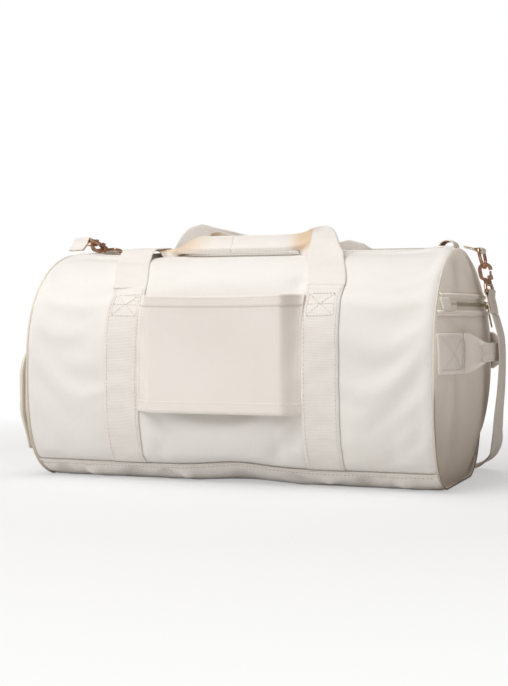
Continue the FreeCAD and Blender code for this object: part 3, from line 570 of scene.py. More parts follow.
# Soft folds, here and in the later tables: middle, direction, half length, half width and height of each.
FOLDS = [
    ((-0.062, -0.098, 0.228), (1.0, 0.2, 0.3), 0.030, 0.012, -0.0030),
    ((-0.132, -0.110, 0.214), (1.0, 0.2, 0.5), 0.030, 0.014, -0.0026),
    ((0.084, -0.104, 0.222), (0.35, 0.3, -1.0), 0.016, 0.009, -0.0050),
    ((0.000, -0.100, 0.224), (1.0, 0.0, 0.05), 0.055, 0.013, 0.0016),
    ((-0.070, -0.108, 0.050), (0.1, 0.1, 1.0), 0.034, 0.010, -0.0045),
    ((0.064, -0.110, 0.055), (0.05, 0.1, 1.0), 0.036, 0.010, -0.0050),
    ((0.090, -0.112, 0.050), (0.0, 0.1, 1.0), 0.034, 0.007, 0.0020),
    ((0.180, -0.118, 0.176), (0.8, 0.1, -0.5), 0.030, 0.016, -0.0026),
    ((0.178, -0.114, 0.060), (0.6, 0.1, -0.5), 0.036, 0.020, -0.0022),
    ((-0.180, -0.116, 0.180), (1.0, 0.0, 0.15), 0.045, 0.018, -0.0016),
    ((-0.176, -0.112, 0.060), (0.5, 0.0, 0.8), 0.040, 0.020, -0.0022),
    ((0.020, -0.112, 0.060), (1.0, 0.0, 0.3), 0.050, 0.018, 0.0016),
    ((0.160, -0.020, 0.257), (1.0, 0.1, 0.0), 0.050, 0.020, -0.0020),
    ((-0.160, -0.024, 0.257), (1.0, -0.2, 0.0), 0.040, 0.018, -0.0024),
    ((0.040, 0.112, 0.190), (1.0, 0.0, 0.3), 0.050, 0.018, -0.0026),
    ((-0.060, 0.114, 0.080), (0.7, 0.0, 0.5), 0.060, 0.022, -0.0028),
    ((0.170, 0.114, 0.150), (0.3, 0.0, 1.0), 0.050, 0.018, -0.0024),
    ((-0.180, 0.112, 0.170), (0.4, 0.0, -1.0), 0.050, 0.018, -0.0026),
]
BASE_FOLDS = [
    ((-0.205, -0.086, 0.008), (0.6, 0.0, 1.0), 0.016, 0.008, -0.0056),
    ((-0.168, -0.086, 0.008), (0.5, 0.0, 1.0), 0.014, 0.007, 0.00384),
    ((-0.120, -0.086, 0.008), (0.8, 0.0, 0.6), 0.018, 0.008, -0.0048),
    ((-0.078, -0.086, 0.008), (0.3, 0.0, 1.0), 0.012, 0.006, -0.0072),
    ((-0.052, -0.086, 0.010), (-0.4, 0.0, 1.0), 0.012, 0.006, 0.0048),
    ((0.075, -0.086, 0.008), (0.8, 0.0, -0.6), 0.016, 0.007, -0.0048),
    ((0.112, -0.086, 0.008), (0.4, 0.0, 1.0), 0.013, 0.007, 0.00352),
    ((0.150, -0.086, 0.008), (0.5, 0.0, 1.0), 0.016, 0.008, -0.00576),
    ((0.192, -0.086, 0.008), (-0.6, 0.0, 1.0), 0.014, 0.008, 0.00352),
    ((-0.140, 0.086, 0.008), (0.5, 0.0, 1.0), 0.016, 0.008, -0.00544),
    ((-0.020, 0.086, 0.008), (-0.5, 0.0, 1.0), 0.016, 0.008, -0.0048),
    ((0.130, 0.086, 0.008), (0.4, 0.0, 1.0), 0.016, 0.008, -0.00576),
]


def fold_height(points, folds):
    """How far the folds lift or sink each point."""
    height = np.zeros(points.shape[:-1])
    for middle, direction, length, width, rise in folds:
        away = points - np.array(middle)
        run = away @ unit(np.array(direction))
        beside = np.sum(away * away, axis=-1) - run * run
        height += rise * np.exp(-(run / length) ** 2 - np.maximum(beside, 0) / width ** 2)
    return height


def cubic_weights(fine, coarse):
    """Matrix that carries values at even coarse places to fine ones, smoothly."""
    step = coarse[1] - coarse[0]
    place = np.clip((fine - coarse[0]) / step, 0, len(coarse) - 1)
    cell = np.minimum(place.astype(int), len(coarse) - 2)
    t = place - cell
    weights = np.zeros((len(fine), len(coarse)))
    shares = (-0.5 * t + t * t - 0.5 * t ** 3, 1 - 2.5 * t * t + 1.5 * t ** 3,
              0.5 * t + 2 * t * t - 1.5 * t ** 3, -0.5 * t * t + 0.5 * t ** 3)
    for offset, share in zip((-1, 0, 1, 2), shares):
        column = np.clip(cell + offset, 0, len(coarse) - 1)
        np.add.at(weights, (np.arange(len(fine)), column), share)
    return weights


SLACK_LIMIT = 0.0055     # the settled fabric keeps this near its outline


class Skin:
    """The tube of fabric between the two end seams, with its folds and its simulated slack."""

    def __init__(self):
        self.xs = np.linspace(-SEAM, SEAM, 81)
        self.vs = np.linspace(0, 5, 181)
        self.slack = np.zeros((len(self.xs), len(self.vs), 3))

    def shaped(self, xs, vs):
        """The skin before its simulation: folds, seams that pull in, and the lifted base edge."""
        grid = np.array([outline_at(x, vs) for x in xs])
        directions = normals_of(grid)
        x = grid[..., 0]
        z = grid[..., 2]
        to_end = SEAM - np.abs(x)
        rise = fold_height(grid, FOLDS) * np.clip((z - BASE_SEAM_Z) / 0.02, 0, 1)
        rise = rise + fold_height(grid, BASE_FOLDS) * np.clip((BASE_SEAM_Z + 0.002 - z) / 0.004, 0, 1)
        # The fabric pulls in at the end seams and the base seams, and is full just beside the end seams.
        rise = rise - 0.0022 * np.exp(-(to_end / 0.0035) ** 2)
        rise = rise - 0.0010 * np.exp(-((z - BASE_SEAM_Z) / 0.0030) ** 2)
        rise = rise + 0.0014 * np.sin(np.clip(to_end / 0.04, 0, 1) * math.pi) * (z > 0.03)
        grid = grid + directions * rise[..., None]
        # The front's lower edge arches up a little near its middle.
        lift = 0.0060 * np.exp(-((x - 0.012) / 0.042) ** 2 - ((grid[..., 1] + 0.085) / 0.030) ** 2)
        grid[..., 2] += lift * np.clip(1.4 - z / 0.05, 0, 1)
        return grid

    def at(self, xs, vs, out=0.0):
        """Points of the finished skin, moved out from it, and their outward directions."""
        xs = np.asarray(xs, float)
        vs = np.asarray(vs, float)
        grid = self.shaped(xs, vs)
        left = cubic_weights(xs, self.xs)
        right = cubic_weights(vs, self.vs)
        grid = grid + np.einsum("ia,abk,jb->ijk", left, self.slack, right)
        directions = normals_of(grid)
        grid = grid + directions * out
        grid[..., 2] = np.maximum(grid[..., 2], 0.0002)
        return grid, directions

    def lengthwise(self, xs, v, out, near=0.01):
        """Path over the skin at one v, with its outward directions."""
        grid, outward = self.at(xs, [v - near, v, v + near], out)
        return grid[:, 1], outward[:, 1]

    def upward(self, x, vs, out, near=0.001):
        """Path over the skin at one x, with its outward directions."""
        grid, outward = self.at([x - near, x, x + near], vs, out)
        return grid[1], outward[1]

    def line(self, xs, vs, out=0.0):
        """Path over the skin through pairs of x and v, with its outward directions."""
        points = []
        directions = []
        for x, v in zip(xs, vs):
            grid, outward = self.at([x - 0.001, x, x + 0.001], [v - 0.01, v, v + 0.01], out)
            points.append(grid[1, 1])
            directions.append(outward[1, 1])
        return np.array(points), np.array(directions)


skin = Skin()
V_SEAM = v_of(BASE_SEAM_Z)


def steps(first, last, size):
    """Even values from the first to the last, about this far apart."""
    return np.linspace(first, last, max(int(round(abs(last - first) / size)), 2) + 1)


# ---------------------------------------------------------------- the settling of the fabric
SETTLING_FRAMES = 22
SPARE_CLOTH = 0.016      # the cloth is larger than its outline by this share
CLOTH = {"quality": 5, "mass": 0.3, "tension_stiffness": 18, "compression_stiffness": 18,
         "shear_stiffness": 8, "bending_stiffness": 1.4, "shrink_min": -SPARE_CLOTH,
         "use_pressure": True, "uniform_pressure_force": 0.35}
CLOTH_GRAVITY = 0.35


def held_weights(x, v):
    """How firmly each point is held: most at seams and base, less at the zip, a little under a band."""
    held = np.clip((x - (SEAM - 0.008)) / 0.004, 0, 1)
    held = np.maximum(held, (v > 4) | (v < 0.02) | (v > 3.98))
    for seam in (V_SEAM, 4 - V_SEAM):
        held = np.maximum(held, 0.9 * (np.abs(v - seam) < 0.03))
    held = np.maximum(held, 0.7 * (np.abs(v - 2) < 0.11))
    band_top = v_of(BAND_TOP_Z)
    on_band = (np.abs(x - BAND_X) < BAND_HALF + 0.003) & ((v < band_top) | (v > 4 - band_top))
    return np.maximum(held, 0.30 * on_band)


def settled(points, faces, held):
    """The points after they have settled as cloth, each held by its weight."""
    mesh = bpy.data.meshes.new("settling")
    mesh.from_pydata(points.tolist(), [], faces)
    piece = bpy.data.objects.new("settling", mesh)
    bpy.context.scene.collection.objects.link(piece)
    group = piece.vertex_groups.new(name="held")
    for weight in np.unique(np.round(held, 2)):
        if weight > 0:
            chosen = np.flatnonzero(np.abs(held - weight) < 0.006)
            group.add([int(k) for k in chosen], float(weight), "REPLACE")
    cloth = piece.modifiers.new("settle", "CLOTH").settings
    cloth.vertex_group_mass = "held"
    for name, value in CLOTH.items():
        setattr(cloth, name, value)
    cloth.effector_weights.gravity = CLOTH_GRAVITY
    scene = bpy.context.scene
    scene.frame_start = 1
    scene.frame_end = SETTLING_FRAMES
    for number in range(1, SETTLING_FRAMES + 1):
        scene.frame_set(number)
    done = piece.evaluated_get(bpy.context.evaluated_depsgraph_get())
    result = np.array([point.co[:] for point in done.data.vertices])
    bpy.data.objects.remove(piece)
    scene.frame_set(1)
    return result


def settle_skin():
    """Let the fabric between its seams settle, then smooth and limit how far each point has moved."""
    start = skin.shaped(skin.xs, skin.vs)[:, :-1]
    rows, columns = start.shape[:2]
    x = np.abs(start[..., 0])
    held = held_weights(x, np.broadcast_to(skin.vs[:-1], x.shape))
    faces = [(a, d, c, b) for a, b, c, d in quads(rows, columns, closed=True)]
    moved = settled(start.reshape(-1, 3), faces, held.ravel()).reshape(start.shape) - start
    for _ in range(2):
        beside = (np.roll(moved, 1, 1) + np.roll(moved, -1, 1)) / 2
        moved = moved * 0.6 + beside * 0.4
        moved[1:-1] = moved[1:-1] * 0.6 + (moved[2:] + moved[:-2]) * 0.2
    length = np.linalg.norm(moved, axis=2, keepdims=True)
    moved = moved * np.minimum(1, SLACK_LIMIT / np.maximum(length, 1e-9))
    moved = moved * (1 - held ** 4)[..., None]
    skin.slack = np.concatenate([moved, moved[:, :1]], axis=1)


# ================================================================ pieces
def make_panels():
    """Front, back and base of the bag."""
    xs = steps(-SEAM, SEAM, 0.0035)
    slot_v = 2 - ZIP_SLOT / 0.150
    for name, v0, v1 in (("front_panel", V_SEAM, slot_v), ("back_panel", 4 - slot_v, 4 - V_SEAM)):
        grid, outward = skin.at(xs, steps(v0, v1, 0.022))
        node = name.split("_")[0] + "_body_panel"
        sewn(name, grid, 0.0018, "bag_fabric", node, directions=outward)
    back, under, front = (
        skin.at(xs, steps(v0, v1, size))[0]
        for v0, v1, size in ((4 - V_SEAM, 4, 0.014), (4, 5, 0.05), (0, V_SEAM, 0.014))
    )
    grid = np.concatenate([back[:, :-1], under[:, :-1], front], axis=1)
    sewn("base", grid, 0.0018, "base_fabric_painted_light", "base_panel")


def make_base_piping():
    """Cord sewn into the seams between base and body, with a row of stitches below it."""
    xs = steps(-SEAM + 0.002, SEAM - 0.002, 0.004)
    rows = []
    for face, v, below in (("front", V_SEAM, -0.035), ("back", 4 - V_SEAM, 0.035)):
        name = "base_piping_" + face
        line, _ = skin.lengthwise(xs, v, 0.0017, 0.012)
        shown(name, tube(name, line, 0.0013), "bag", "stitching", "base_piping")
        rows.append(skin.lengthwise(xs, v + below, 0.0003, 0.012))
    stitches("base_stitching", rows, "bag")


def ring_path(x, out, count=260):
    """Closed line round the section at an end seam."""
    vs = np.linspace(0, 5, count, endpoint=False)
    line = outline_at(x, vs)
    direction = np.roll(line, -1, axis=0) - np.roll(line, 1, axis=0)
    outward = unit(np.stack([np.zeros(count), -direction[:, 2], direction[:, 1]], axis=1))
    line = line + outward * out
    line[:, 2] = np.maximum(line[:, 2], 0.0012)
    return line


def make_seam_piping():
    """Bound cord round both ends, where the body meets its end panels. The cord is real, but its darker
    colour is painted shade for the shadow line in the seam.
    """
    for side, sign in (("right", 1), ("left", -1)):
        name = side + "_seam_cord"
        line = ring_path(sign * SEAM, -0.0017)
        line[:, 0] = sign * (SEAM + 0.0003)
        shown(name, tube(name, line, 0.0008, closed=True), "bag", "seam_cord_painted_shade", side + "_seam_piping")


def dome_x(y, z):
    """How far out the bowed right end stands."""
    return DOME_X - DOME_RADIUS + np.sqrt(DOME_RADIUS ** 2 - y ** 2 - (z - DOME_Z) ** 2)


END_FOLDS = [
    ((0.247, -0.074, 0.094), (0.0, 0.25, -1.0), 0.040, 0.010, -0.0042),
    ((0.244, -0.062, 0.045), (0.0, 0.15, -1.0), 0.036, 0.012, -0.0030),
    ((0.242, -0.094, 0.080), (0.0, 0.06, -1.0), 0.050, 0.008, 0.0030),
    ((0.250, -0.070, 0.168), (0.0, 1.0, -0.25), 0.030, 0.008, -0.0030),
    ((0.252, -0.030, 0.172), (0.0, 1.0, 0.2), 0.036, 0.010, 0.0020),
    ((0.246, -0.050, 0.226), (0.0, 0.5, 1.0), 0.024, 0.012, -0.0034),
    ((0.246, -0.012, 0.232), (0.0, 0.1, 1.0), 0.020, 0.010, 0.0024),
    ((0.256, 0.010, 0.090), (0.0, 0.3, -1.0), 0.050, 0.016, -0.0024),
    ((0.250, 0.066, 0.100), (0.0, -0.3, 1.0), 0.046, 0.013, -0.0034),
    ((0.248, 0.030, 0.040), (0.0, 1.0, 0.1), 0.040, 0.012, -0.0030),
]


def end_surface(y, z):
    """Right end: it rolls round beside its seam, then bows out, with a dip for the pocket's zip."""
    gap = np.min(np.hypot(y[..., None] - END_RING[:, 1], z[..., None] - END_RING[:, 2]), axis=-1)
    turn = np.clip(gap / ROLL, 0, 1)
    x = SEAM + 0.0004 + (dome_x(y, z) - SEAM) * np.sqrt(1 - (1 - turn) ** 2) ** 0.9
    points = np.stack([x, y, z], axis=-1)
    x = x + fold_height(points, END_FOLDS) * np.clip(gap / 0.012, 0, 1)
    beside = np.clip((np.abs(z - POCKET_Z) - 0.0062) / 0.0030, 0, 1)
    within = np.clip((POCKET_HALF + 0.003 - np.abs(y)) / 0.004, 0, 1)
    x = x - 0.0026 * (1 - smooth(beside)) * within
    return np.stack([x, y, z], axis=-1)


END_RING = ring_path(SEAM, -0.0006, 320)
END_MIDDLE = np.array([0.0, 0.132])


def end_half(z):
    """Half the width of the right end at a height."""
    side = END_RING[(END_RING[:, 1] > 0) & (END_RING[:, 2] > WIDEST_Z)]
    order = np.argsort(side[:, 2])
    return float(np.interp(z, side[order, 2], side[order, 1]))


def end_patch(y0, y1, z0, z1, out, size=0.0025):
    """Grid over part of the right end, y along its first way and z along its second."""
    y, z = np.meshgrid(steps(y0, y1, size), steps(z0, z1, size), indexing="ij")
    grid = end_surface(y, z)
    return grid + normals_of(grid) * out


def dish(name, grid, middle, inward):
    """Closed panel of an even thickness from rings of points that close in on its middle."""
    rows, columns = grid.shape[:2]
    faces = quads(rows, columns, closed=True)
    faces.append(tuple((rows - 1) * columns + j for j in range(columns)))
    inner = grid.copy()
    inner[..., 0] += inward
    inner[..., 1:] = middle + (inner[..., 1:] - middle) * 0.985
    size = rows * columns
    faces += [tuple(size + k for k in reversed(face)) for face in faces]
    faces += [(j, (j + 1) % columns, size + (j + 1) % columns, size + j) for j in range(columns)]
    points = np.concatenate([grid.reshape(-1, 3), inner.reshape(-1, 3)])
    return mesh_of(name, points, faces, points[:, 1:], 1.2)


def make_right_end():
    """Bowed panel of the right end, from rings that close in on its middle."""
    share = np.concatenate([np.linspace(1, 0.80, 18)[:-1], np.linspace(0.80, 0.04, 42)])
    ring = END_RING[:, 1:] - END_MIDDLE
    flat = END_MIDDLE + share[:, None, None] * ring[None]
    grid = end_surface(flat[..., 0], flat[..., 1])
    shown("right_end", dish("right_end", grid, END_MIDDLE, -0.0018), "bag", "end_fabric_painted_light_and_shade", "right_end_panel")


def end_sheet(name, y0, y1, z0, z1, out, thickness, slot, *stands_for, size=0.0025):
    """Flat piece sewn to the right end."""
    sewn(name, end_patch(y0, y1, z0, z1, out, size), thickness, slot, *stands_for)


TAPE_HALF = 0.0066       # half the width of the pocket's zip tape
WELT_HALF = 0.0026


def make_pocket():
    """Zip across the right end between two rounded welts, with a cover over its near end."""
    for name, z in (("pocket_welt_upper", POCKET_Z + 0.0088), ("pocket_welt_lower", POCKET_Z - 0.0088)):
        reach = end_half(z + 0.0030) - 0.0008
        grid = end_patch(-reach, reach, z - WELT_HALF, z + WELT_HALF, 0.0, 0.0013)
        crown = 1 - np.linspace(-1, 1, grid.shape[1]) ** 2
        grid = grid + normals_of(grid) * (0.0006 + 0.0017 * crown ** 0.5)[None, :, None]
        sewn(name, grid, 0.0010, "end_fabric_painted_light_and_shade", "pocket_zip_welts")
    low, high = POCKET_Z - TAPE_HALF, POCKET_Z + TAPE_HALF
    end_sheet("pocket_tape", -POCKET_HALF, POCKET_HALF, low, high, 0.0007, 0.0005, "zip_tape",
              "pocket_zip_tape")
    first, last = 0.002 - POCKET_HALF, POCKET_HALF - 0.004
    path = end_patch(first, last, POCKET_Z - 0.002, POCKET_Z + 0.002, 0.0012)
    make_teeth("pocket_teeth", path[:, path.shape[1] // 2], (1.0, 0.0, 0.0), "pocket_zip_coil", half=0.0013)
    for name, z0, z1 in (("pocket_edge_upper", 0.0023, 0.0068), ("pocket_edge_lower", -0.0068, -0.0023)):
        end_sheet(name, -POCKET_HALF, POCKET_HALF, POCKET_Z + z0, POCKET_Z + z1, 0.0013, 0.0005,
                  "end_fabric_painted_light_and_shade", size=0.0015)
    reach = end_half(POCKET_Z + 0.0070) - 0.0012
    end_sheet("pocket_cover", -reach, -POCKET_HALF + 0.014, low, high, 0.0026, 0.0012, "end_fabric_painted_light_and_shade",
              "pocket_zip_cover")
    end_sheet("pocket_stop", POCKET_HALF - 0.001, reach, low, high, 0.0026, 0.0012, "end_fabric_painted_light_and_shade")
    rows = []
    for z in (POCKET_Z + 0.0130, POCKET_Z - 0.0130):
        reach = end_half(z + 0.0015) - 0.0012
        rows.append((end_patch(-reach, reach, z - 0.001, z + 0.001, 0.0003)[:, 1], (1.0, 0.0, 0.0)))
    y = -POCKET_HALF + 0.0118
    edge = end_patch(y, y + 0.001, POCKET_Z - 0.006, POCKET_Z + 0.006, 0.0028, 0.001)
    rows.append((edge[1], (1.0, 0.0, 0.0)))
    stitches("pocket_stitching", rows, "bag")


TOOTH_PITCH = 0.0013
TOOTH_WIRE = 0.00042
TOOTH_HEIGHT = 0.0017
TOOTH_BEND = ((1.0, 0.0), (0.92, 0.75), (0.45, 1.0), (0.04, 0.82))     # across and up, as shares


def make_teeth(name, path, outward, *stands_for, half=0.0026):
    """Closed coil zip: bent wire teeth from both sides that meet along the middle."""
    path = np.asarray(path, float)
    above = path + np.broadcast_to(outward, path.shape) * 0.01
    both = resampled(np.concatenate([path, above], axis=1), TOOTH_PITCH)
    path = both[:, :3]
    heading = unit(np.gradient(path, axis=0))
    out = unit(both[:, 3:] - path)
    side = unit(np.cross(heading, out))
    points = []
    faces = []
    for n in range(len(path)):
        sign = 1 if n % 2 else -1
        start = len(points)
        for across, rise in TOOTH_BEND:
            middle = path[n] + side[n] * sign * half * across + out[n] * TOOTH_HEIGHT * rise
            for along, lift in ((-1, 0), (0, 1), (1, 0), (0, -1)):
                points.append(middle + heading[n] * TOOTH_WIRE * 1.25 * along + out[n] * TOOTH_WIRE * lift)
        faces += quads(len(TOOTH_BEND), 4, start, closed=True)
        faces.append(tuple(range(start + 3, start - 1, -1)))
        faces.append(tuple(range(start + 12, start + 16)))
    shown(name, mesh_of(name, points, faces), "bag", "zip_teeth", *stands_for)


ZIP_GAP = 0.0004         # half the gap between the two tapes of the main zip
ZIP_EDGE = 0.0125        # and half their width over both


def make_main_zip():
    """Two tapes with their teeth along the top, a cap of fabric at each end, and stitches beside them."""
    xs = steps(-ZIP_HALF, ZIP_HALF, 0.006)
    for face, first, last in (("front", -ZIP_EDGE, -ZIP_GAP), ("back", ZIP_GAP, ZIP_EDGE)):
        x, y = np.meshgrid(xs, np.linspace(first, last, 6), indexing="ij")
        grid = np.stack([x, y, ZIP_Z - 0.0002 - 0.0006 * np.abs(y) / ZIP_EDGE], axis=-1)
        name = "zip_tape_" + face
        sewn(name, grid, 0.0007, "zip_tape", "main_" + name)
    path = [(x, 0.0, ZIP_Z + 0.0003) for x in xs]
    make_teeth("zip_teeth", path, (0.0, 0.0, 1.0), "main_zip_coil")
    inner, outer = ZIP_HALF - 0.004, SEAM - 0.0005
    for name, first, last in (("zip_end_right", inner, outer), ("zip_end_left", -outer, -inner)):
        grid, outward = skin.at(steps(first, last, 0.002), steps(1.915, 2.085, 0.012), 0.0009)
        sewn(name, grid, 0.0014, "bag_fabric", directions=outward)
    xs = steps(-SEAM + 0.004, SEAM - 0.004, 0.006)
    stitches("zip_stitching", [skin.lengthwise(xs, v, 0.0003) for v in (1.905, 2.095)], "bag")


def make_bands():
    """Ribbed webbing from the base seam up the front and the back."""
    rows = []
    boxes = []
    for face, sign in (("front", 1), ("back", -1)):
        for side, middle in (("left", -BAND_X), ("right", BAND_X)):
            name = face + "_band_" + side
            xs = steps(middle - BAND_HALF, middle + BAND_HALF, 0.003)
            top = v_of(BAND_TOP_Z, middle)
            vs = steps(V_SEAM + 0.02, top, 0.02)
            if sign < 0:
                vs = (4 - vs)[::-1]
            grid, outward = skin.at(xs, vs, 0.0017)
            grid = np.transpose(grid, (1, 0, 2))[:, ::-1]
            outward = np.transpose(outward, (1, 0, 2))[:, ::-1]
            sewn(name + "_webbing", grid, WEB, "webbing", name, directions=outward)
            for inset in (0.0030 - BAND_HALF, BAND_HALF - 0.0030):
                rows.append(skin.upward(middle + inset, vs, 0.0020))
            boxes += box_rows(middle, sign)
    stitches("band_stitching", rows, "bag", 0.0030, 0.0016, 0.00030)
    stitches("band_box_stitching", boxes, "bag", 0.0024, 0.0012, 0.00036)


def box_rows(middle, sign):
    """Sewn box with crossed rows where a handle is joined to its band."""
    left, right = middle - 0.0145, middle + 0.0145
    low = v_of(0.185, middle)
    high = v_of(0.209, middle)
    a, b, c, d = (left, low), (right, low), (right, high), (left, high)
    across = ((left, (low + high) / 2), (right, (low + high) / 2))
    rows = []
    for (x0, v0), (x1, v1) in ((a, b), (b, c), (c, d), (d, a), (a, c), (d, b), across):
        vs = np.linspace(v0, v1, 8)
        if sign < 0:
            vs = 4 - vs
        rows.append(skin.line(np.linspace(x0, x1, 8), vs, 0.0020))
    return rows


HEM_FOLD = 0.0004
HEM_ROWS = 4             # a hem is this many rows of the sleeve's grid high
SLEEVE_TURN = 0.020      # the sleeve comes off the bag's face over this width at each side


def sleeve_grid():
    """Outer face of the sleeve: it lies on the bag at its two sides and stands off it between them."""
    half = SLEEVE_HIGH[0]
    turn = half - SLEEVE_TURN
    sides = steps(-half, -turn, 0.0016)[:-1], steps(turn, half, 0.0016)[1:]
    xs = np.concatenate([sides[0], steps(-turn, turn, 0.004), sides[1]])
    zs = steps(SLEEVE_LOW[2], SLEEVE_HIGH[2], 0.003)
    share = (zs - zs[0]) / (zs[-1] - zs[0])
    grid = np.zeros((len(xs), len(zs), 3))
    front = skin.at(xs, [v_of(z, 0.08) for z in zs], 0.0021)[0]
    for i, x in enumerate(xs):
        stand = smooth((half - abs(x)) / SLEEVE_TURN)
        dip = 0.0022 * (1 - (x / half) ** 2)
        grid[i, :, 0] = x * (1 - 0.006 * np.sin(math.pi * share) * min(abs(x) / 0.05, 1))
        grid[i, :, 1] = front[i, :, 1] * (1 - stand) + SLEEVE_LOW[1] * stand
        grid[i, :, 2] = zs - dip * share ** 3
        wave = 0.0007 * math.sin(x * 47.0 + 0.6) * (0.3 + share) + 0.0006 * np.sin(share * 5.0 + x * 22.0)
        grid[i, :, 1] += stand * (wave + 0.0012 * np.sin(math.pi * share) ** 2)
    return grid


def make_sleeve():
    """Panel that stands off the front, open above and below, with a stitched hem at each end."""
    grid = sleeve_grid()
    outward = normals_of(grid)
    sleeve = sewn("sleeve", grid, WEB, "sleeve_fabric", "trolley_sleeve", directions=outward)
    rows = []
    for name, up, edge, inner, hem in (
            ("sleeve_hem_lower", 1, 0, HEM_ROWS, slice(HEM_ROWS + 1)),
            ("sleeve_hem_upper", -1, -1, -1 - HEM_ROWS, slice(-1 - HEM_ROWS, None))):
        strip = grid[:, hem] + outward[:, hem] * HEM_FOLD
        sewn(name, strip, HEM_FOLD, "sleeve_fabric", directions=outward[:, hem])
        for row, rise in ((inner, -0.0012 * up), (edge, 0.00168 * up)):
            rows.append((grid[:, row] + outward[:, row] * 0.0005 + (0, 0, rise), outward[:, row]))
    for i in (2, -3):
        rows.append((grid[i] + outward[i] * 0.0003, outward[i]))
    stitches("sleeve_stitching", rows, "bag", 0.0026, 0.0014, 0.00028)


# ---------------------------------------------------------------- carry handles
def curve_through(points, count=200):
    """Rounded line through a few points, evenly divided."""
    points = np.asarray(points, float)
    rows = np.concatenate([[2 * points[0] - points[1]], points, [2 * points[-1] - points[-2]]])
    line = []
    for k in range(1, len(rows) - 2):
        for t in np.linspace(0, 1, 12, endpoint=False):
            a, b, c, d = rows[k - 1:k + 3]
            line.append(0.5 * (2 * b + (c - a) * t + (2 * a - 5 * b + 4 * c - d) * t * t
                               + (3 * b - a - 3 * c + d) * t ** 3))
    line.append(points[-1])
    gone = travelled(line)
    return fitted(np.linspace(0, gone[-1], count), gone, line), gone[-1]


class LegPath:
    """Upright line of a handle's leg in y and z, measured back from its top end."""

    def __init__(self, x, leave_y, free):
        body, _ = skin.upward(x, np.linspace(v_of(BAND_TOP_Z, x), 1.99, 60), 0.0018, 0.002)
        on_skin = [(y, z) for _, y, z in body if y < leave_y]
        self.line, self.length = curve_through(on_skin[::5] + free)

    def at(self, back):
        """Point and outward direction at a distance before the top end, given as a negative number."""
        numbers = np.arange(len(self.line))
        index = np.clip((back + self.length) / self.length, -0.02, 1.3) * numbers[-1]
        heading = fitted(index, numbers, unit(np.gradient(self.line, axis=0)))
        past = np.maximum(index - numbers[-1], 0) * self.length / numbers[-1]
        place = fitted(index, numbers, self.line) + heading * past[..., None]
        return place, heading[..., ::-1] * (-1, 1)


FOLD_RADIUS = 0.0016
FOLD_TURN = math.pi * FOLD_RADIUS        # webbing used up by a full turn
GRIP_DROP = 0.006


def handle_half(side, paths, lean, grip_sag, spread, full):
    """Half of a handle: the leg turns into the grip at a corner fold, and the grip closes lengthwise.

    A point is given by its reach along the bag, its level against the top of the leg, and its depth
    behind the outer face. lean moves the handle along the bag, grip_sag lowers the grip's middle,
    spread is the length over which it passes from one leg's line to the other's, and full rounds the
    right corner.
    """
    left, right = paths
    top = (right if side > 0 else left).length
    strip_end = top - BAND_HALF + BAND_X + FOLD_TURN + 0.0006
    along = steps(0, strip_end, 0.0016)
    across = steps(-BAND_HALF, BAND_HALF, 0.0016)
    a, w = np.meshgrid(along, across, indexing="ij")
    reach = BAND_X + w
    level = a - top

    # At the corner the webbing folds over a slanting line, round a small radius.
    past = ((reach - (BAND_X - BAND_HALF)) + level) / math.sqrt(2)
    arc = np.clip(past, 0, FOLD_TURN) / FOLD_RADIUS
    flat = np.where(past > FOLD_TURN, FOLD_TURN - past, FOLD_RADIUS * np.sin(arc))
    shift = np.where(past > 0, flat - past, 0.0) / math.sqrt(2)
    reach = reach + shift
    level = level + shift
    depth = np.where(past > 0, FOLD_RADIUS * (1 - np.cos(arc)), 0.0)

    # Beyond it the lower half of its width swings up behind the upper half.
    inner = (BAND_X - BAND_HALF) - reach
    closing = smooth((inner + 0.004) / 0.034) * (past > FOLD_TURN)
    below = level + BAND_HALF
    middle = -BAND_HALF - GRIP_DROP * closing
    swing = math.pi * closing
    folded = middle + np.where(below < 0, below * np.cos(swing), below)
    folded_depth = depth + np.where(below < 0, -below * np.sin(swing) + 0.0030 * closing, 0.0)
    level = np.where(closing > 0, folded, level)
    depth = np.where(closing > 0, folded_depth, depth)

    # The grip sags, and its corners are blunter and fuller than a sharp fold.
    level = level - grip_sag * np.clip(1 - (reach / 0.09) ** 2, 0, 1)
    level = level - 0.58 * np.maximum(level + 0.013, 0)
    fuller = 0.017 * np.exp(-((reach - 0.119) / 0.015) ** 2)
    fuller = fuller + 0.005 * np.exp(-((reach - 0.100) / 0.010) ** 2)
    level = level + (full if side > 0 else 0.3) * fuller * smooth((level + 0.050) / 0.03)

    # Both legs' lines carry the sheet, each the more the nearer it is.
    x = side * reach
    weight = smooth((x + 0.094) / spread)
    first, first_out = left.at(level)
    second, second_out = right.at(level)
    place = first * (1 - weight[..., None]) + second * weight[..., None]
    outward = unit(first_out * (1 - weight[..., None]) + second_out * weight[..., None])
    place = place - outward * depth[..., None]
    x = x + lean * smooth((level + top) / 0.07)
    return np.stack([x, place[..., 0], place[..., 1]], axis=-1)


def handle_sheet(back, *shape):
    """One handle from its left band to its right band, sewn to both."""
    left, right = (handle_half(side, *shape) for side in (-1, 1))
    grid = np.concatenate([left, right[::-1][1:]])
    return (grid * (1, -1, 1))[:, ::-1] if back else grid


def handle_fold_shade(grid):
    """Painted shade: the under side of the webbing gets a warm, darker tan where it turns over at the two
    corners, for the shade and bounced light in the folds.
    """
    rows, columns = grid.shape[:2]
    x = grid[..., 0]
    corner = np.where(x > 0, smooth((x - 0.046) / 0.022), smooth((-x - 0.030) / 0.05) * 0.85)
    turned = corner * smooth((grid[..., 2] - 0.252) / 0.006)
    rim = np.full(2 * (rows + columns) - 4, 0.1)
    return np.concatenate([np.zeros(grid[..., 0].size), turned.ravel(), rim])


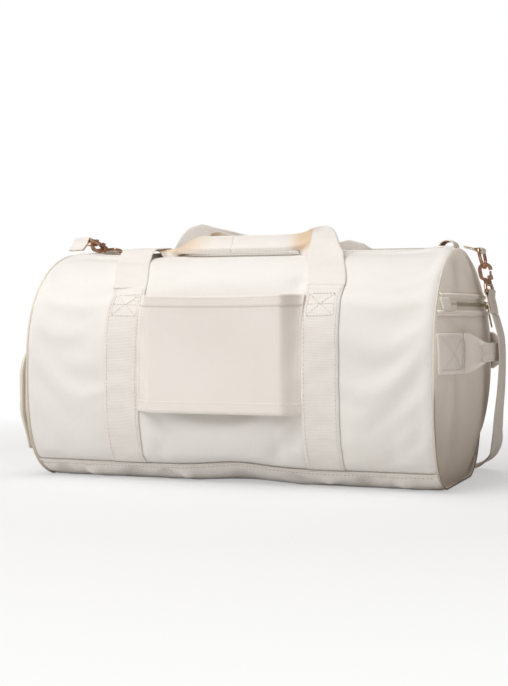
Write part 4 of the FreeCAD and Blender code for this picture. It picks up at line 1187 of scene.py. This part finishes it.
def make_handles():
    """Near and far handle: the free ends of the four legs' lines, then each handle's own shape."""
    flat_left = [(-0.046, 0.2585), (-0.030, 0.2610), (-0.012, 0.2625), (0.004, 0.2630)]
    upright = [(-0.056, 0.2560), (-0.046, 0.2640), (-0.041, 0.2740), (-0.039, 0.2820)]
    near = (LegPath(-BAND_X, -0.062, flat_left), LegPath(BAND_X, -0.074, upright))
    tall = [(-0.058, 0.2570), (-0.048, 0.2670), (-0.043, 0.2830), (-0.041, 0.2985)]
    low = [(-0.056, 0.2550), (-0.046, 0.2620), (-0.042, 0.2690), (-0.040, 0.2760)]
    far = (LegPath(-BAND_X, -0.076, tall), LegPath(BAND_X, -0.074, low))
    plan = (("near_handle", "front_handle", False, near, -0.016, 0.0010, 0.058, 1.0),
            ("far_handle", "back_handle", True, far, 0.004, 0.0020, 0.126, 0.25))
    for name, node, back, *shape in plan:
        grid = handle_sheet(back, *shape)
        piece = sewn(name, grid, WEB, "webbing", node, body=None, fold_shade_share=handle_fold_shade(grid))
        sign = 1 if back else -1
        low_end = (0.0, sign * 0.106, BAND_TOP_Z - 0.006)
        high_end = (0.0, sign * 0.088, BAND_TOP_Z + 0.014)
        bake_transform(piece)


# ---------------------------------------------------------------- grab handle on the right end
GRAB_Z = (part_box("grab_grip")[0][2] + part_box("grab_grip")[1][2]) / 2
GRIP_HALF = 0.010


def make_grab_handle():
    """Two patches sewn to the right end, and between them the narrower grip on its two wings."""
    rows = []
    zigzag = []
    for sign, word in ((-1, "near"), (1, "far")):
        first, last = sorted((sign * 0.1205, sign * 0.074))
        end_sheet("grab_patch_" + word, first, last, GRAB_Z - BAND_HALF, GRAB_Z + BAND_HALF, 0.0018, WEB,
                  "grab_webbing_painted_light", "grab_patches")
        make_wing(word, sign)
        y0, y1 = sign * 0.117, sign * 0.080
        z0, z1 = GRAB_Z - 0.0165, GRAB_Z + 0.0165
        for a, b in (((y0, z0), (y1, z0)), ((y0, z1), (y1, z1)), ((y0, z0), (y1, z1)), ((y0, z1), (y1, z0))):
            rows.append(on_end(np.linspace(a[0], b[0], 9), np.linspace(a[1], b[1], 9), 0.0021))
        count = 22
        z = np.linspace(z0, z1, count)
        y = sign * (0.0785 + 0.0022 * (np.arange(count) % 2))
        zigzag.append(on_end(y, z, 0.0021))
        zigzag.append(on_end(y - sign * 0.0035, z, 0.0021))
    stitches("grab_stitching", rows, "bag", 0.0024, 0.0012, 0.00042)
    stitches("grab_zigzag_stitching", zigzag, "bag", 0.0024, 0.0004, 0.00055)
    make_grip()


def on_end(y, z, out):
    """Path over the right end, with its outward directions."""
    spread = np.array([-0.001, 0.0, 0.001])
    points = []
    directions = []
    for a, b in zip(y, z):
        ys, zs = np.meshgrid(a + spread, b + spread, indexing="ij")
        grid = end_surface(ys, zs)
        direction = normals_of(grid)[1, 1]
        points.append(grid[1, 1] + direction * out)
        directions.append(direction)
    return np.array(points), np.array(directions)


def make_wing(word, sign):
    """The webbing leaves the end panel here, and its edges fold over as it narrows to the grip."""
    share, across = np.meshgrid(np.linspace(0, 1, 22), np.linspace(-1, 1, 21), indexing="ij")
    y = sign * (0.0765 - 0.0305 * share)
    lift = end_surface(y, np.full(y.shape, GRAB_Z))[..., 0]
    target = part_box("grab_grip")[0][0] + 0.0024
    x = (lift + 0.0022) * (1 - smooth(share)) + target * smooth(share)
    half = BAND_HALF + (GRIP_HALF - BAND_HALF) * smooth((share - 0.12) / 0.8)
    curl = smooth((share - 0.1) / 0.8)
    x = x + curl * (0.0034 * np.abs(across) ** 3 + 0.0006 * np.cos(across * 5))
    turn = math.pi / 2 * (0.35 + 0.65 * curl)
    grid = np.stack([x, y, GRAB_Z + half * np.sin(across * turn) / np.sin(turn)], axis=-1)
    if sign > 0:
        grid = grid[::-1]
    sewn("grab_wing_" + word, grid, WEB, "grab_webbing_painted_light", "grab_wings")


def make_grip():
    """Webbing folded round on itself, bowed out from the end."""
    low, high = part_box("grab_grip")
    y = np.linspace(low[1] - 0.001, high[1] + 0.001, 48)
    bow = np.maximum(np.cos(y / high[1] * math.pi / 2 * 0.98), 0)
    root, crown = low[0] + 0.0016, high[0] - 0.0016
    path = np.stack([root + (crown - root) * bow ** 0.8, y, np.full(len(y), GRAB_Z)], axis=1)
    sides = 40
    turns = np.linspace(0, 2 * math.pi, sides, endpoint=False)
    outward = np.cross(unit(np.gradient(path, axis=0)), (0, 0, 1.0))
    outline = np.stack([np.sign(np.cos(turns)) * np.abs(np.cos(turns)) ** 0.45,
                        np.sign(np.sin(turns)) * np.abs(np.sin(turns)) ** 0.85], axis=1)
    seam = -0.0007 * np.exp(-((turns - math.pi) / 0.09) ** 2)
    grid = path[:, None] + outward[:, None] * (outline[:, 0] * 0.0017 - seam)[:, None]
    grid[..., 2] += outline[:, 1] * GRIP_HALF
    faces = quads(len(y), sides, closed=True)
    faces.append(tuple(range(sides)))
    faces.append(tuple(range(len(y) * sides - 1, (len(y) - 1) * sides - 1, -1)))
    flat = np.stack(np.meshgrid(y, np.linspace(0, 0.044, sides), indexing="ij"), axis=2)
    mesh = mesh_of("grab_grip_webbing", grid.reshape(-1, 3), faces, flat.reshape(-1, 2))
    shown("grab_grip_webbing", mesh, "grab_grip", "grab_webbing_painted_light", "grab_grip")
    line = (path + outward * 0.0019)[5:-5]
    rows = [(line + (0, 0, z), outward[5:-5]) for z in (-0.0075, 0.0075)]
    stitches("grip_stitching", rows, "grab_grip", 0.0028, 0.0014, 0.00028)


# ---------------------------------------------------------------- left end and shoe compartment
# FLAP_X, SHOE_ZIP_X and LEFT_APEX are counted out from the bag's middle, so they are above zero.
SHOE_HALF = FLAP_HIGH[1]
SHOE_LOW = FLAP_LOW[2]
SHOE_TOP = FLAP_HIGH[2]
SHOE_CORNER = 0.034
FLAP_X = -FLAP_LOW[0]
SHOE_ZIP_X = 0.246
LEFT_APEX = 0.240
LEFT_RADIUS = 0.9
LEFT_ROLL = 0.010        # how fast the left end turns round beside its seam
SHOE_MIDDLE = np.array([0.0, 0.088])
TURNS = np.linspace(-math.pi, math.pi, 320, endpoint=False)     # directions from it, all the way round


def arch(outset):
    """Line up, over and down round the flap, as (y, z), a distance outside its outline."""
    half = SHOE_HALF + outset
    top = SHOE_TOP + outset
    radius = SHOE_CORNER + outset
    turn = np.linspace(math.pi, math.pi / 2, 24)
    left = np.stack([-half + radius + radius * np.cos(turn), top - radius + radius * np.sin(turn)], axis=1)
    line = np.concatenate([[(-half, SHOE_LOW)], left, left[::-1] * (-1, 1), [(half, SHOE_LOW)]])
    line = resampled(line, 0.0025)
    line[:, 0] *= 1 - 0.09 * (1 - smooth((line[:, 1] - SHOE_LOW) / 0.050))
    return line


def settled_in(grid):
    """Towards its lower edge the shoe door stands less proud of the end."""
    full = smooth((grid[..., 2] - SHOE_LOW + 0.012) / 0.055)
    proud = np.maximum(-grid[..., 0] - SEAM, 0)
    grid[..., 0] += proud * 0.30 * (1 - full)
    return grid


def arch_grid(x_from, x_to, outset, rows, puff=0.0):
    """Strip round the flap between two stations; the stations are measured out from the middle."""
    line = arch(outset)
    direction = np.gradient(line, axis=0)
    outward = unit(np.stack([-direction[:, 1], direction[:, 0]], axis=1))
    grid = np.zeros((len(line), rows, 3))
    for k, share in enumerate(np.linspace(0, 1, rows)):
        bulge = puff * math.sin(math.pi * share)
        grid[:, k, 0] = -(x_from + (x_to - x_from) * share)
        grid[:, k, 1:] = line + outward * bulge
    return settled_in(grid)


def reach_of(line):
    """Distance from the shoe end's middle to a closed outline in each direction."""
    away = line - SHOE_MIDDLE
    angle = np.arctan2(away[:, 1], away[:, 0])
    order = np.argsort(angle)
    order = np.concatenate([order[-3:], order, order[:3]])
    angle = np.unwrap(angle[order]) - 2 * math.pi
    return np.linalg.norm(fitted(TURNS, angle, away[order]), axis=1)


def flap_reach():
    """The same for the flap's own outline, with its straight lower edge."""
    lower = [(SHOE_HALF * share, SHOE_LOW) for share in (0.5, 0, -0.5)]
    return reach_of(np.concatenate([arch(0.0), lower]))


def round_middle(reach):
    """Points as y and z at a distance from the shoe end's middle in each direction."""
    return SHOE_MIDDLE[0] + reach * np.cos(TURNS), SHOE_MIDDLE[1] + reach * np.sin(TURNS)


LEFT_FOLDS = [
    ((-0.236, -0.040, 0.200), (0.0, 1.0, 0.3), 0.040, 0.012, 0.0026),
    ((-0.236, 0.030, 0.184), (0.0, 1.0, -0.2), 0.040, 0.011, 0.0024),
    ((-0.236, -0.070, 0.172), (0.0, 0.5, 1.0), 0.020, 0.009, 0.0026),
    ((-0.236, 0.050, 0.222), (0.0, 0.6, 1.0), 0.024, 0.010, 0.0026),
    ((-0.236, 0.000, 0.216), (0.0, 1.0, 0.1), 0.030, 0.010, -0.0014),
]


def make_left_end():
    """Slightly bowed panel between the end seam and the shoe compartment's zip."""
    outer = reach_of(END_RING[:, 1:])
    inner = flap_reach() + 0.0006
    share = np.concatenate([np.linspace(1, 0.72, 14)[:-1], np.linspace(0.72, 0, 22)])
    gap = (outer - inner) * (1 - share[:, None])
    y, z = round_middle(outer - gap)
    dome = LEFT_APEX - LEFT_RADIUS + np.sqrt(LEFT_RADIUS ** 2 - y ** 2 - (z - DOME_Z) ** 2)
    turn = np.clip(gap / LEFT_ROLL, 0, 1)
    x = -(SEAM + 0.0004 + (dome - SEAM) * np.sqrt(1 - (1 - turn) ** 2))
    grid = np.stack([x, y, z], axis=-1)
    grid[..., 0] += fold_height(grid, LEFT_FOLDS) * np.clip(gap / 0.01, 0, 1)
    grid = np.concatenate([grid, grid[:, :1]], axis=1)
    sewn("left_end", grid, 0.0016, "end_fabric_painted_light_and_shade", "left_end_panel")


def make_shoe_zip():
    """Narrow wall round the shoe compartment, then its zip, of which one tape rides on the flap."""
    zip_x = SHOE_ZIP_X
    for name, first, last, outset, rows, puff, thickness, body, slot, node in (
            ("shoe_gusset_fabric", SEAM - 0.004, zip_x - 0.0043, 0.0024, 7, 0.0012, 0.0011,
             "bag", "bag_fabric", "shoe_gusset"),
            ("shoe_tape_fixed", zip_x - 0.0046, zip_x - 0.0004, 0.0022, 4, 0.0, 0.0006,
             "bag", "zip_tape", "shoe_zip_tape"),
            ("shoe_tape_moving", zip_x + 0.0004, zip_x + 0.0050, 0.0022, 4, 0.0, 0.0006,
             "shoe_flap", "zip_tape", "shoe_flap_tape")):
        sewn(name, arch_grid(first, last, outset, rows, puff), thickness, slot, node, body=body)
    line = arch(0.0024)
    direction = np.gradient(line, axis=0)
    outward = np.column_stack([np.zeros(len(line)), -direction[:, 1], direction[:, 0]])
    path = settled_in(np.column_stack([np.full(len(line), -zip_x), line]))
    make_teeth("shoe_teeth", path, unit(outward), "shoe_zip_coil", half=0.0017)


FLAP_FOLDS = [
    ((-0.257, -0.050, 0.110), (0.0, 1.0, 0.4), 0.040, 0.012, 0.0022),
    ((-0.257, 0.040, 0.100), (0.0, 0.7, -0.6), 0.040, 0.012, 0.0024),
    ((-0.257, 0.000, 0.060), (0.0, 1.0, 0.1), 0.060, 0.012, 0.0018),
    ((-0.257, -0.070, 0.070), (0.0, 0.2, 1.0), 0.030, 0.010, 0.0020),
]


def flap_surface(reach, outline):
    """Outer face of the flap at a reach from its middle: it rolls round inside its outline, then bows."""
    y, z = round_middle(reach)
    inward = np.clip((outline - reach) / 0.016, 0, 1)
    rim = FLAP_X - 0.0078
    x = -(rim + (0.0072 + 0.0010 * (1 - (reach / 0.12) ** 2)) * np.sqrt(1 - (1 - inward) ** 2) ** 0.9)
    grid = np.stack([x, y, z], axis=-1)
    grid[..., 0] += fold_height(grid, FLAP_FOLDS) * inward
    return settled_in(grid)


def make_flap():
    """Door of the shoe compartment, rounded at its rim, with a corded edge and a row of stitches."""
    outline = flap_reach()
    share = np.concatenate([np.linspace(1, 0.80, 18)[:-1], np.linspace(0.80, 0.03, 26)])
    grid = flap_surface(outline * share[:, None], outline)
    shown("flap", dish("flap", grid, SHOE_MIDDLE, 0.0018), "shoe_flap", "bag_fabric", "shoe_flap")
    rim = flap_surface(outline + 0.0006, outline + 0.0006)
    shown("flap_cord", tube("flap_cord", rim, 0.0013, 8, True), "shoe_flap", "bag_fabric")
    seam = flap_surface(outline - 0.0050, outline)
    seam[:, 0] -= 0.0003
    stitches("flap_stitching", [(seam, (-1.0, 0.0, 0.0))], "shoe_flap")


# ---------------------------------------------------------------- inside
# Section of the shoe compartment's wall as (x, z), from the base to the left end.
SHOE_WALL = [(-0.1205, 0.0075), (-0.1200, 0.0700), (-0.1190, 0.1250), (-0.1225, 0.1480),
             (-0.1400, 0.1535), (-0.1800, 0.1525), (-0.2220, 0.1530)]


def make_lining():
    """Thin fabric inside the front, the back and the base."""
    xs = steps(-SEAM + 0.022, SEAM - 0.022, 0.014)
    for name, v0, v1 in (("lining_front", 0.0, 1.90), ("lining_back", 2.10, 4.0), ("lining_base", 4.0, 5.0)):
        grid, outward = skin.at(xs, steps(v0, v1, 0.05), -0.0068)
        sewn(name, grid, 0.0006, "lining_fabric", "lining", directions=outward)


def make_shoe_wall():
    """Slack fabric between the shoe compartment and the rest of the bag, clear of the base's folds."""
    line, _ = curve_through(SHOE_WALL, 60)
    grid = np.zeros((60, 40, 3))
    for k, (x, z) in enumerate(line):
        face, _ = skin.line([x], [v_of(max(z, 0.004), x)], -0.0085)
        half = abs(face[0, 1]) - 0.014 * (1 - smooth(z / 0.035))
        across = np.linspace(-half, half, 40)
        sag = np.cos(across / half * math.pi / 2)
        over = x < -0.13
        grid[k] = np.stack([x + 0.0020 * math.sin(k * 0.5) * sag, across, z - 0.004 * sag * over], axis=1)
    sewn("shoe_wall", grid, 0.0010, "lining_fabric", "shoe_compartment_wall")


def make_pouch():
    """Bag of the end pocket: two plump sheets, one behind the other."""
    low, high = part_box("end_pocket_pouch")
    y, z = np.meshgrid(np.linspace(low[1], high[1], 30), np.linspace(low[2], high[2], 24), indexing="ij")
    across = 2 * (y - low[1]) / (high[1] - low[1]) - 1
    rise = 2 * (z - low[2]) / (high[2] - low[2]) - 1
    plump = 0.004 + 0.0055 * (1 - across ** 4) * (1 - rise ** 4)
    middle = (low[0] + high[0]) / 2
    for name, sign in (("pouch_inner", -1), ("pouch_outer", 1)):
        sheet = np.stack([middle + sign * plump * 0.95, y, z], axis=2)
        if sign < 0:
            sheet = sheet[::-1]
        sewn(name, sheet, 0.0007, "lining_fabric", "end_pocket_pouch")


# ---------------------------------------------------------------- rings, tabs and strap ends
RING_DROP = 0.019        # from the ring's bar to the bottom of its bow
EYE_DROP = 0.0265        # and on to the lower bar of the strap's eye
RING_WIRE = 0.0018
EYE_WIRE = 0.0017
STRAP_TAIL = 0.024
STRAP_HALF = 0.017
TAB_HALF = 0.0125
TAB_TAIL = 0.0165
TAB_TURN = math.radians(116)             # the tab is turned this far about the ring's bar


class Chain:
    """Place of a ring's bar, the way its hook and strap end lie from it, and their outer side."""

    def __init__(self, bar, down, outer):
        self.bar = np.array(bar)
        self.down = unit(np.array(down))
        outer = np.array(outer, float)
        self.outer = unit(outer - self.down * np.dot(outer, self.down))
        self.across = np.cross(self.outer, self.down)

    def place(self, points):
        """Points given outward, across and up from the ring's bar."""
        outward, across, up = np.moveaxis(np.asarray(points, float)[..., None], -2, 0)
        return self.bar + outward * self.outer + across * self.across - up * self.down


CHAINS = {"right": Chain((0.256, 0, 0.253), (0.21, 0, -0.98), (1, 0, 0)),
          "left": Chain((-0.226, -0.002, 0.2745), (0.35, 0.9, -0.26), (0, 0, 1))}


def folded_strip(radius, tail, half):
    """Webbing folded round a bar: a path of its outer face in outward and up, then its width."""
    bend = radius + WEB
    arc = np.linspace(0, math.pi, 16)
    over = np.stack([bend * np.cos(arc), bend * np.sin(arc)], axis=1)
    down = np.array([(WEB + 0.0001, -2 * bend), (WEB + 0.0002, -tail * 0.6), (WEB, -tail)])
    line, _ = curve_through(np.concatenate([down[::-1], over, down * (-1, 1)]), 70)
    return strip_over(line, np.linspace(half, -half, 17))


def strip_over(line, across):
    """Strip whose section in outward and up is a line, as (outward, across, up)."""
    first, second = np.meshgrid(line[:, 0], across, indexing="ij")
    return np.stack([first, second, np.broadcast_to(line[:, 1:], first.shape)], axis=-1)


def folded_piece(name, grid, thickness, slot, node, body="bag"):
    """Webbing folded on itself, whose inner face and a little of the rim get a painted shade: a warm, darker
    tan for the shade inside the fold.
    """
    rows, columns = grid.shape[:2]
    size = rows * columns
    fold_shade_share = np.concatenate([np.zeros(size), np.ones(size), np.full(2 * (rows + columns) - 4, 0.35)])
    sewn(name, grid, thickness, slot, node, body=body, fold_shade_share=fold_shade_share)


def make_chain_fabric(side, chain):
    """Tab that holds a ring to the bag, and the end of the strap folded round its eye, with its stitches."""
    cos, sin = math.cos(TAB_TURN), math.sin(TAB_TURN)
    turn = np.array([[cos, 0, sin], [0, 1, 0], [-sin, 0, cos]])
    tab = chain.place(folded_strip(RING_WIRE + 0.0001, TAB_TAIL, TAB_HALF) @ turn.T)
    folded_piece("ring_tab_webbing_" + side, tab, WEB * 0.95, "webbing", "ring_tab_" + side)
    low = RING_DROP + EYE_DROP
    end = chain.place(folded_strip(EYE_WIRE + 0.0001, STRAP_TAIL, STRAP_HALF) - (0, 0, low))
    body = side + "_ring"
    folded_piece("strap_end_webbing_" + side, end, WEB * 0.95, "strap_webbing", "strap_end_" + side, body)
    rows = []
    for up in (-0.010, -0.0215):
        for flip in (1, -1):
            line = [(flip * (WEB + 0.0004), across, up - low) for across in np.linspace(-0.0145, 0.0145, 9)]
            rows.append((chain.place(line), chain.outer * flip))
    stitches("strap_end_stitching_" + side, rows, body, 0.0026, 0.0012, 0.0003)


def make_ring(side, chain):
    """D-ring of round wire: a bow of one radius that hangs from a straight bar."""
    half, drop = 0.014, RING_DROP
    radius = (half ** 2 + drop ** 2) / (2 * drop)
    rise = math.asin((drop - radius) / radius)
    turn = np.linspace(rise, -math.pi - rise, 60)
    bow = np.stack([0 * turn, radius * np.cos(turn), radius - drop + radius * np.sin(turn)], axis=1)
    bar = np.linspace(bow[-1], bow[0], 24)[1:-1]
    name = "ring_" + side
    mesh = tube(name, chain.place(np.concatenate([bow, bar])), RING_WIRE, 14, True)
    shown(name, mesh, side + "_ring", "ring_metal", "d_ring_" + side)


EYE_TOP = RING_DROP + 0.0184
EYE_LOW = RING_DROP + EYE_DROP
EYE_CORNERS = np.array([(0, -0.0205, -EYE_LOW), (0, 0.0205, -EYE_LOW),
                        (0, 0.0175, -EYE_TOP), (0, -0.0175, -EYE_TOP)])
EYE_ROUND = 0.0022       # how far from its corners the eye's wire starts to bend
EYE_POST = ((0.0, 0.0026), (0.0010, 0.0019), (0.0040, 0.0016), (0.0062, 0.0016))    # height, radius


def make_eye(side, chain):
    """Tapered wire eye that holds the strap's end, and the post by which it turns in the hook."""
    t = np.linspace(0, 1, 6)[:, None]
    line = []
    for before, here, after in zip(np.roll(EYE_CORNERS, 1, 0), EYE_CORNERS, np.roll(EYE_CORNERS, -1, 0)):
        first = here + unit(before - here) * EYE_ROUND
        last = here + unit(after - here) * EYE_ROUND
        line.extend(first * (1 - t) ** 2 + 2 * here * t * (1 - t) + last * t * t)
    eye = chain.place(resampled(line, 0.0012, True))
    post = chain.place([(0, 0, rise - EYE_TOP) for rise, _ in EYE_POST])
    radii = [radius for _, radius in EYE_POST]
    for word, path, radius, sides in (("", eye, EYE_WIRE, 12), ("post_", post, radii, 14)):
        name = "strap_eye_" + word + side
        mesh = tube(name, path, radius, sides, path is eye)
        shown(name, mesh, side + "_ring", "ring_metal", "swivel_eye_" + side)


def make_tab_loop():
    """Loop of webbing at the end of the zip, to hold on to while the zip is pulled."""
    low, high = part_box("tab_loop")
    middle = (low[0] + high[0]) / 2
    half = (high[0] - low[0]) / 2
    turn = np.linspace(0, math.pi, 40)
    base = low[2] - 0.0006
    rise = high[2] - base
    line = np.stack([middle + half * np.cos(turn), base + rise * np.sin(turn) ** 0.8], axis=1)
    grid = strip_over(line, np.linspace(high[1], low[1], 15))
    grid[..., 2] -= 0.0006 * (grid[..., 1] / high[1]) ** 2
    folded_piece("tab_loop_webbing", grid, WEB, "webbing", "tab_loop")


# ---------------------------------------------------------------- shoulder strap
STRAP_THICK = 0.0016
FLOOR_Z = 0.0012
END_DROP = RING_DROP + EYE_DROP + STRAP_TAIL + 0.0015


def drop_point(side, drop):
    """Point at a distance below a ring's bar, along its hook and strap end."""
    chain = CHAINS[side]
    return tuple(chain.bar + chain.down * drop)


LONG_ROUTE = [
    drop_point("right", END_DROP), (0.275, 0, 0.171), (0.2785, -0.002, 0.156), (0.279, -0.002, 0.132),
    (0.2755, 0.009, 0.104), (0.269, 0.032, 0.078), (0.262, 0.062, 0.052), (0.253, 0.097, 0.027),
    (0.232, 0.134, 0.008), (0.198, 0.158, FLOOR_Z), (0.158, 0.172, FLOOR_Z), (0.120, 0.184, FLOOR_Z),
    (0.086, 0.206, FLOOR_Z), (0.052, 0.232, FLOOR_Z), (0.014, 0.240, FLOOR_Z)]
SHORT_ROUTE = [
    (-0.038, 0.240, FLOOR_Z), (-0.078, 0.238, FLOOR_Z), (-0.118, 0.224, FLOOR_Z), (-0.150, 0.196, FLOOR_Z),
    (-0.170, 0.168, 0.007), (-0.176, 0.152, 0.032), (-0.179, 0.146, 0.066), (-0.180, 0.143, 0.104),
    (-0.180, 0.140, 0.142), (-0.181, 0.132, 0.180), (-0.184, 0.116, 0.214),
    tuple(np.array(drop_point("left", END_DROP + 0.030)) - (0, 0, 0.002)), drop_point("left", END_DROP)]


def spline_points(name, route):
    """Points along the smooth curve that a route's points steer."""
    curve = bpy.data.curves.new(name, "CURVE")
    curve.dimensions = "3D"
    curve.resolution_u = 12
    spline = curve.splines.new("NURBS")
    spline.points.add(len(route) - 1)
    for point, place in zip(spline.points, route):
        point.co = (*place, 1.0)
    spline.order_u = 3
    spline.use_endpoint_u = True
    holder = bpy.data.objects.new(name, curve)
    line = bpy.data.meshes.new_from_object(holder)
    points = np.array([v.co[:] for v in line.vertices])
    bpy.data.objects.remove(holder)
    return points


def strap_grid(points, last_width, turn_from, turn_to):
    """Flat webbing along a path. Its width lies along Y and turns to another direction on the way."""
    heading = unit(np.gradient(points, axis=0))
    gone = np.linspace(0, 1, len(points))
    turned = np.clip((gone - turn_from) / (turn_to - turn_from), 0, 1)[:, None]
    wide = np.array((0, 1, 0)) * (1 - turned) + np.array(last_width) * turned
    wide = unit(wide - heading * np.sum(wide * heading, axis=1, keepdims=True))
    thick = np.cross(heading, wide)
    across = np.linspace(-STRAP_HALF, STRAP_HALF, 11)
    cup = STRAP_THICK / 2 + 0.0005 * (across / STRAP_HALF) ** 2
    grid = points[:, None] + wide[:, None] * across[:, None] + thick[:, None] * cup[:, None]
    grid[..., 2] = np.maximum(grid[..., 2], 0.0018)
    return grid, np.broadcast_to(thick[:, None], grid.shape)


def make_straps():
    """The strap's two lengths: each stretches from the bag to the ring at its end."""
    right_end, left_end = (drop_point(side, END_DROP + 0.004) for side in ("right", "left"))
    right_start = (right_end[0], right_end[1], right_end[2] - 0.110)
    left_start = (-0.181, 0.134, 0.170)
    fitting = {"far_end": "fitting", "with_pieces": [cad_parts["strap_adjuster"]]}
    for node, route, turned, body, start, end, more in (
            ("strap_long", LONG_ROUTE, ((0, 1, 0), 0.3, 0.6), "right_ring", right_start, right_end, fitting),
            ("strap_short", SHORT_ROUTE, ((-0.932, 0.362, 0), 0.15, 0.4), "left_ring", left_start, left_end,
             {"far_end": "object"})):
        path = resampled(spline_points(node, route), 0.004)
        grid, outward = strap_grid(path, *turned)
        piece = sewn(node + "_webbing", grid, STRAP_THICK, "strap_webbing", node, body=None,
                     directions=outward)
        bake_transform(piece)


# ---------------------------------------------------------------- metal and small hardware
HARDWARE = {
    "ring_metal": ("hook", "strap_adjuster"),
    "zip_metal": ("main_slider", "main_pull", "pocket_slider", "pocket_pull", "shoe_slider", "shoe_pull"),
    "stiffener": ("base_stiffener",),
}


def finish_hardware():
    """The CAD pieces that stay get their material, and the metal ones softly broken edges."""
    for slot, starts in HARDWARE.items():
        for node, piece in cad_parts.items():
            if not node.startswith(starts):
                continue
            piece.data.materials.clear()
            piece.data.materials.append(MATERIALS[slot])
            if slot != "stiffener":
                edge = piece.modifiers.new("broken_edges", "BEVEL")
                edge.width = 0.00022
                edge.segments = 2
                edge.limit_method = "ANGLE"
                edge.angle_limit = math.radians(35)


# ---------------------------------------------------------------- scene
def make_stage():
    """White floor. To the camera it fades into the background, and it still takes the bag's shadow."""
    sheet = bpy.data.meshes.new("floor")
    sheet.from_pydata([(-6, -6, 0), (6, -6, 0), (6, 6, 0), (-6, 6, 0)], [], [(0, 1, 2, 3)])
    ground = bpy.data.objects.new("floor", sheet)
    bpy.context.scene.collection.objects.link(ground)
    floor = Finish("floor_white", Base_Color=(0.80, 0.80, 0.80, 1), Roughness=0.9)
    away = floor.add("ShaderNodeVectorMath", {"operation": "LENGTH"}, {0: floor.place()}, "Value")
    near_and_far = {"Value": away, "From Min": 0.45, "From Max": 1.0, "To Min": 0.45}
    fade = floor.add("ShaderNodeMapRange", {}, near_and_far)
    glow = floor.add("ShaderNodeEmission", {}, {"Color": (1, 1, 1, 1)})
    lit = Wire(floor, floor.shader.outputs[0])
    surface = floor.blended(fade * floor.seen(), lit, glow)
    floor.plug(floor.tree.nodes["Material Output"], {"Surface": surface})
    sheet.materials.append(floor.material)


# Name, place, size and power of each lamp.
LAMPS = (("key", (-1.0, -2.1, 2.0), 1.6, 42.5), ("top", (-0.2, -0.5, 2.3), 1.8, 26.0))
AIMED_AT = (0, 0, 0.12)


def make_light():
    """Two soft lamps and a dim, slightly orange surround, which the camera itself sees as white."""
    world = bpy.data.worlds.new("studio")
    bpy.context.scene.world = world
    air = Shading(world)
    soft = air.tree.nodes["Background"]
    air.plug(soft, {"Color": (1.0, 0.895, 0.805, 1), "Strength": 0.31})
    white = air.add("ShaderNodeBackground", {}, {"Color": (1, 1, 1, 1)})
    surface = air.blended(air.seen(), Wire(air, soft.outputs[0]), white)
    air.plug(air.tree.nodes["World Output"], {"Surface": surface})
    for name, place, size, power in LAMPS:
        lamp = bpy.data.lights.new(name, "AREA")
        lamp.size = size
        lamp.energy = power
        lamp.color = (0.975, 0.99, 1.0)
        holder = bpy.data.objects.new(name, lamp)
        holder.location = place
        x, y, z = np.array(AIMED_AT) - place
        holder.rotation_euler = (math.atan2(math.hypot(x, y), -z), 0, math.atan2(-x, y))
        bpy.context.scene.collection.objects.link(holder)


def make_camera():
    """Long lens at the bag's right front, level, with its picture shifted down a little."""
    camera = bpy.data.cameras.new("camera")
    camera.sensor_fit = "HORIZONTAL"
    camera.sensor_width = 36.0
    camera.lens = 92.13
    camera.shift_y = -0.0433
    camera.clip_end = 50
    holder = bpy.data.objects.new("camera", camera)
    holder.location = (0.524, -1.399, 0.177)
    holder.rotation_euler = (math.pi / 2, 0, math.radians(20.75))
    bpy.context.scene.collection.objects.link(holder)
    bpy.context.scene.camera = holder
    bpy.context.scene.view_settings.view_transform = "Standard"


make_camera()
make_stage()
make_light()
settle_skin()
make_panels()
make_base_piping()
make_seam_piping()
make_right_end()
make_pocket()
make_main_zip()
make_bands()
make_sleeve()
make_handles()
make_grab_handle()
make_left_end()
make_shoe_zip()
make_flap()
make_lining()
make_shoe_wall()
make_pouch()
for end, chain in CHAINS.items():
    make_chain_fabric(end, chain)
    make_ring(end, chain)
    make_eye(end, chain)
make_tab_loop()
make_straps()
finish_hardware()
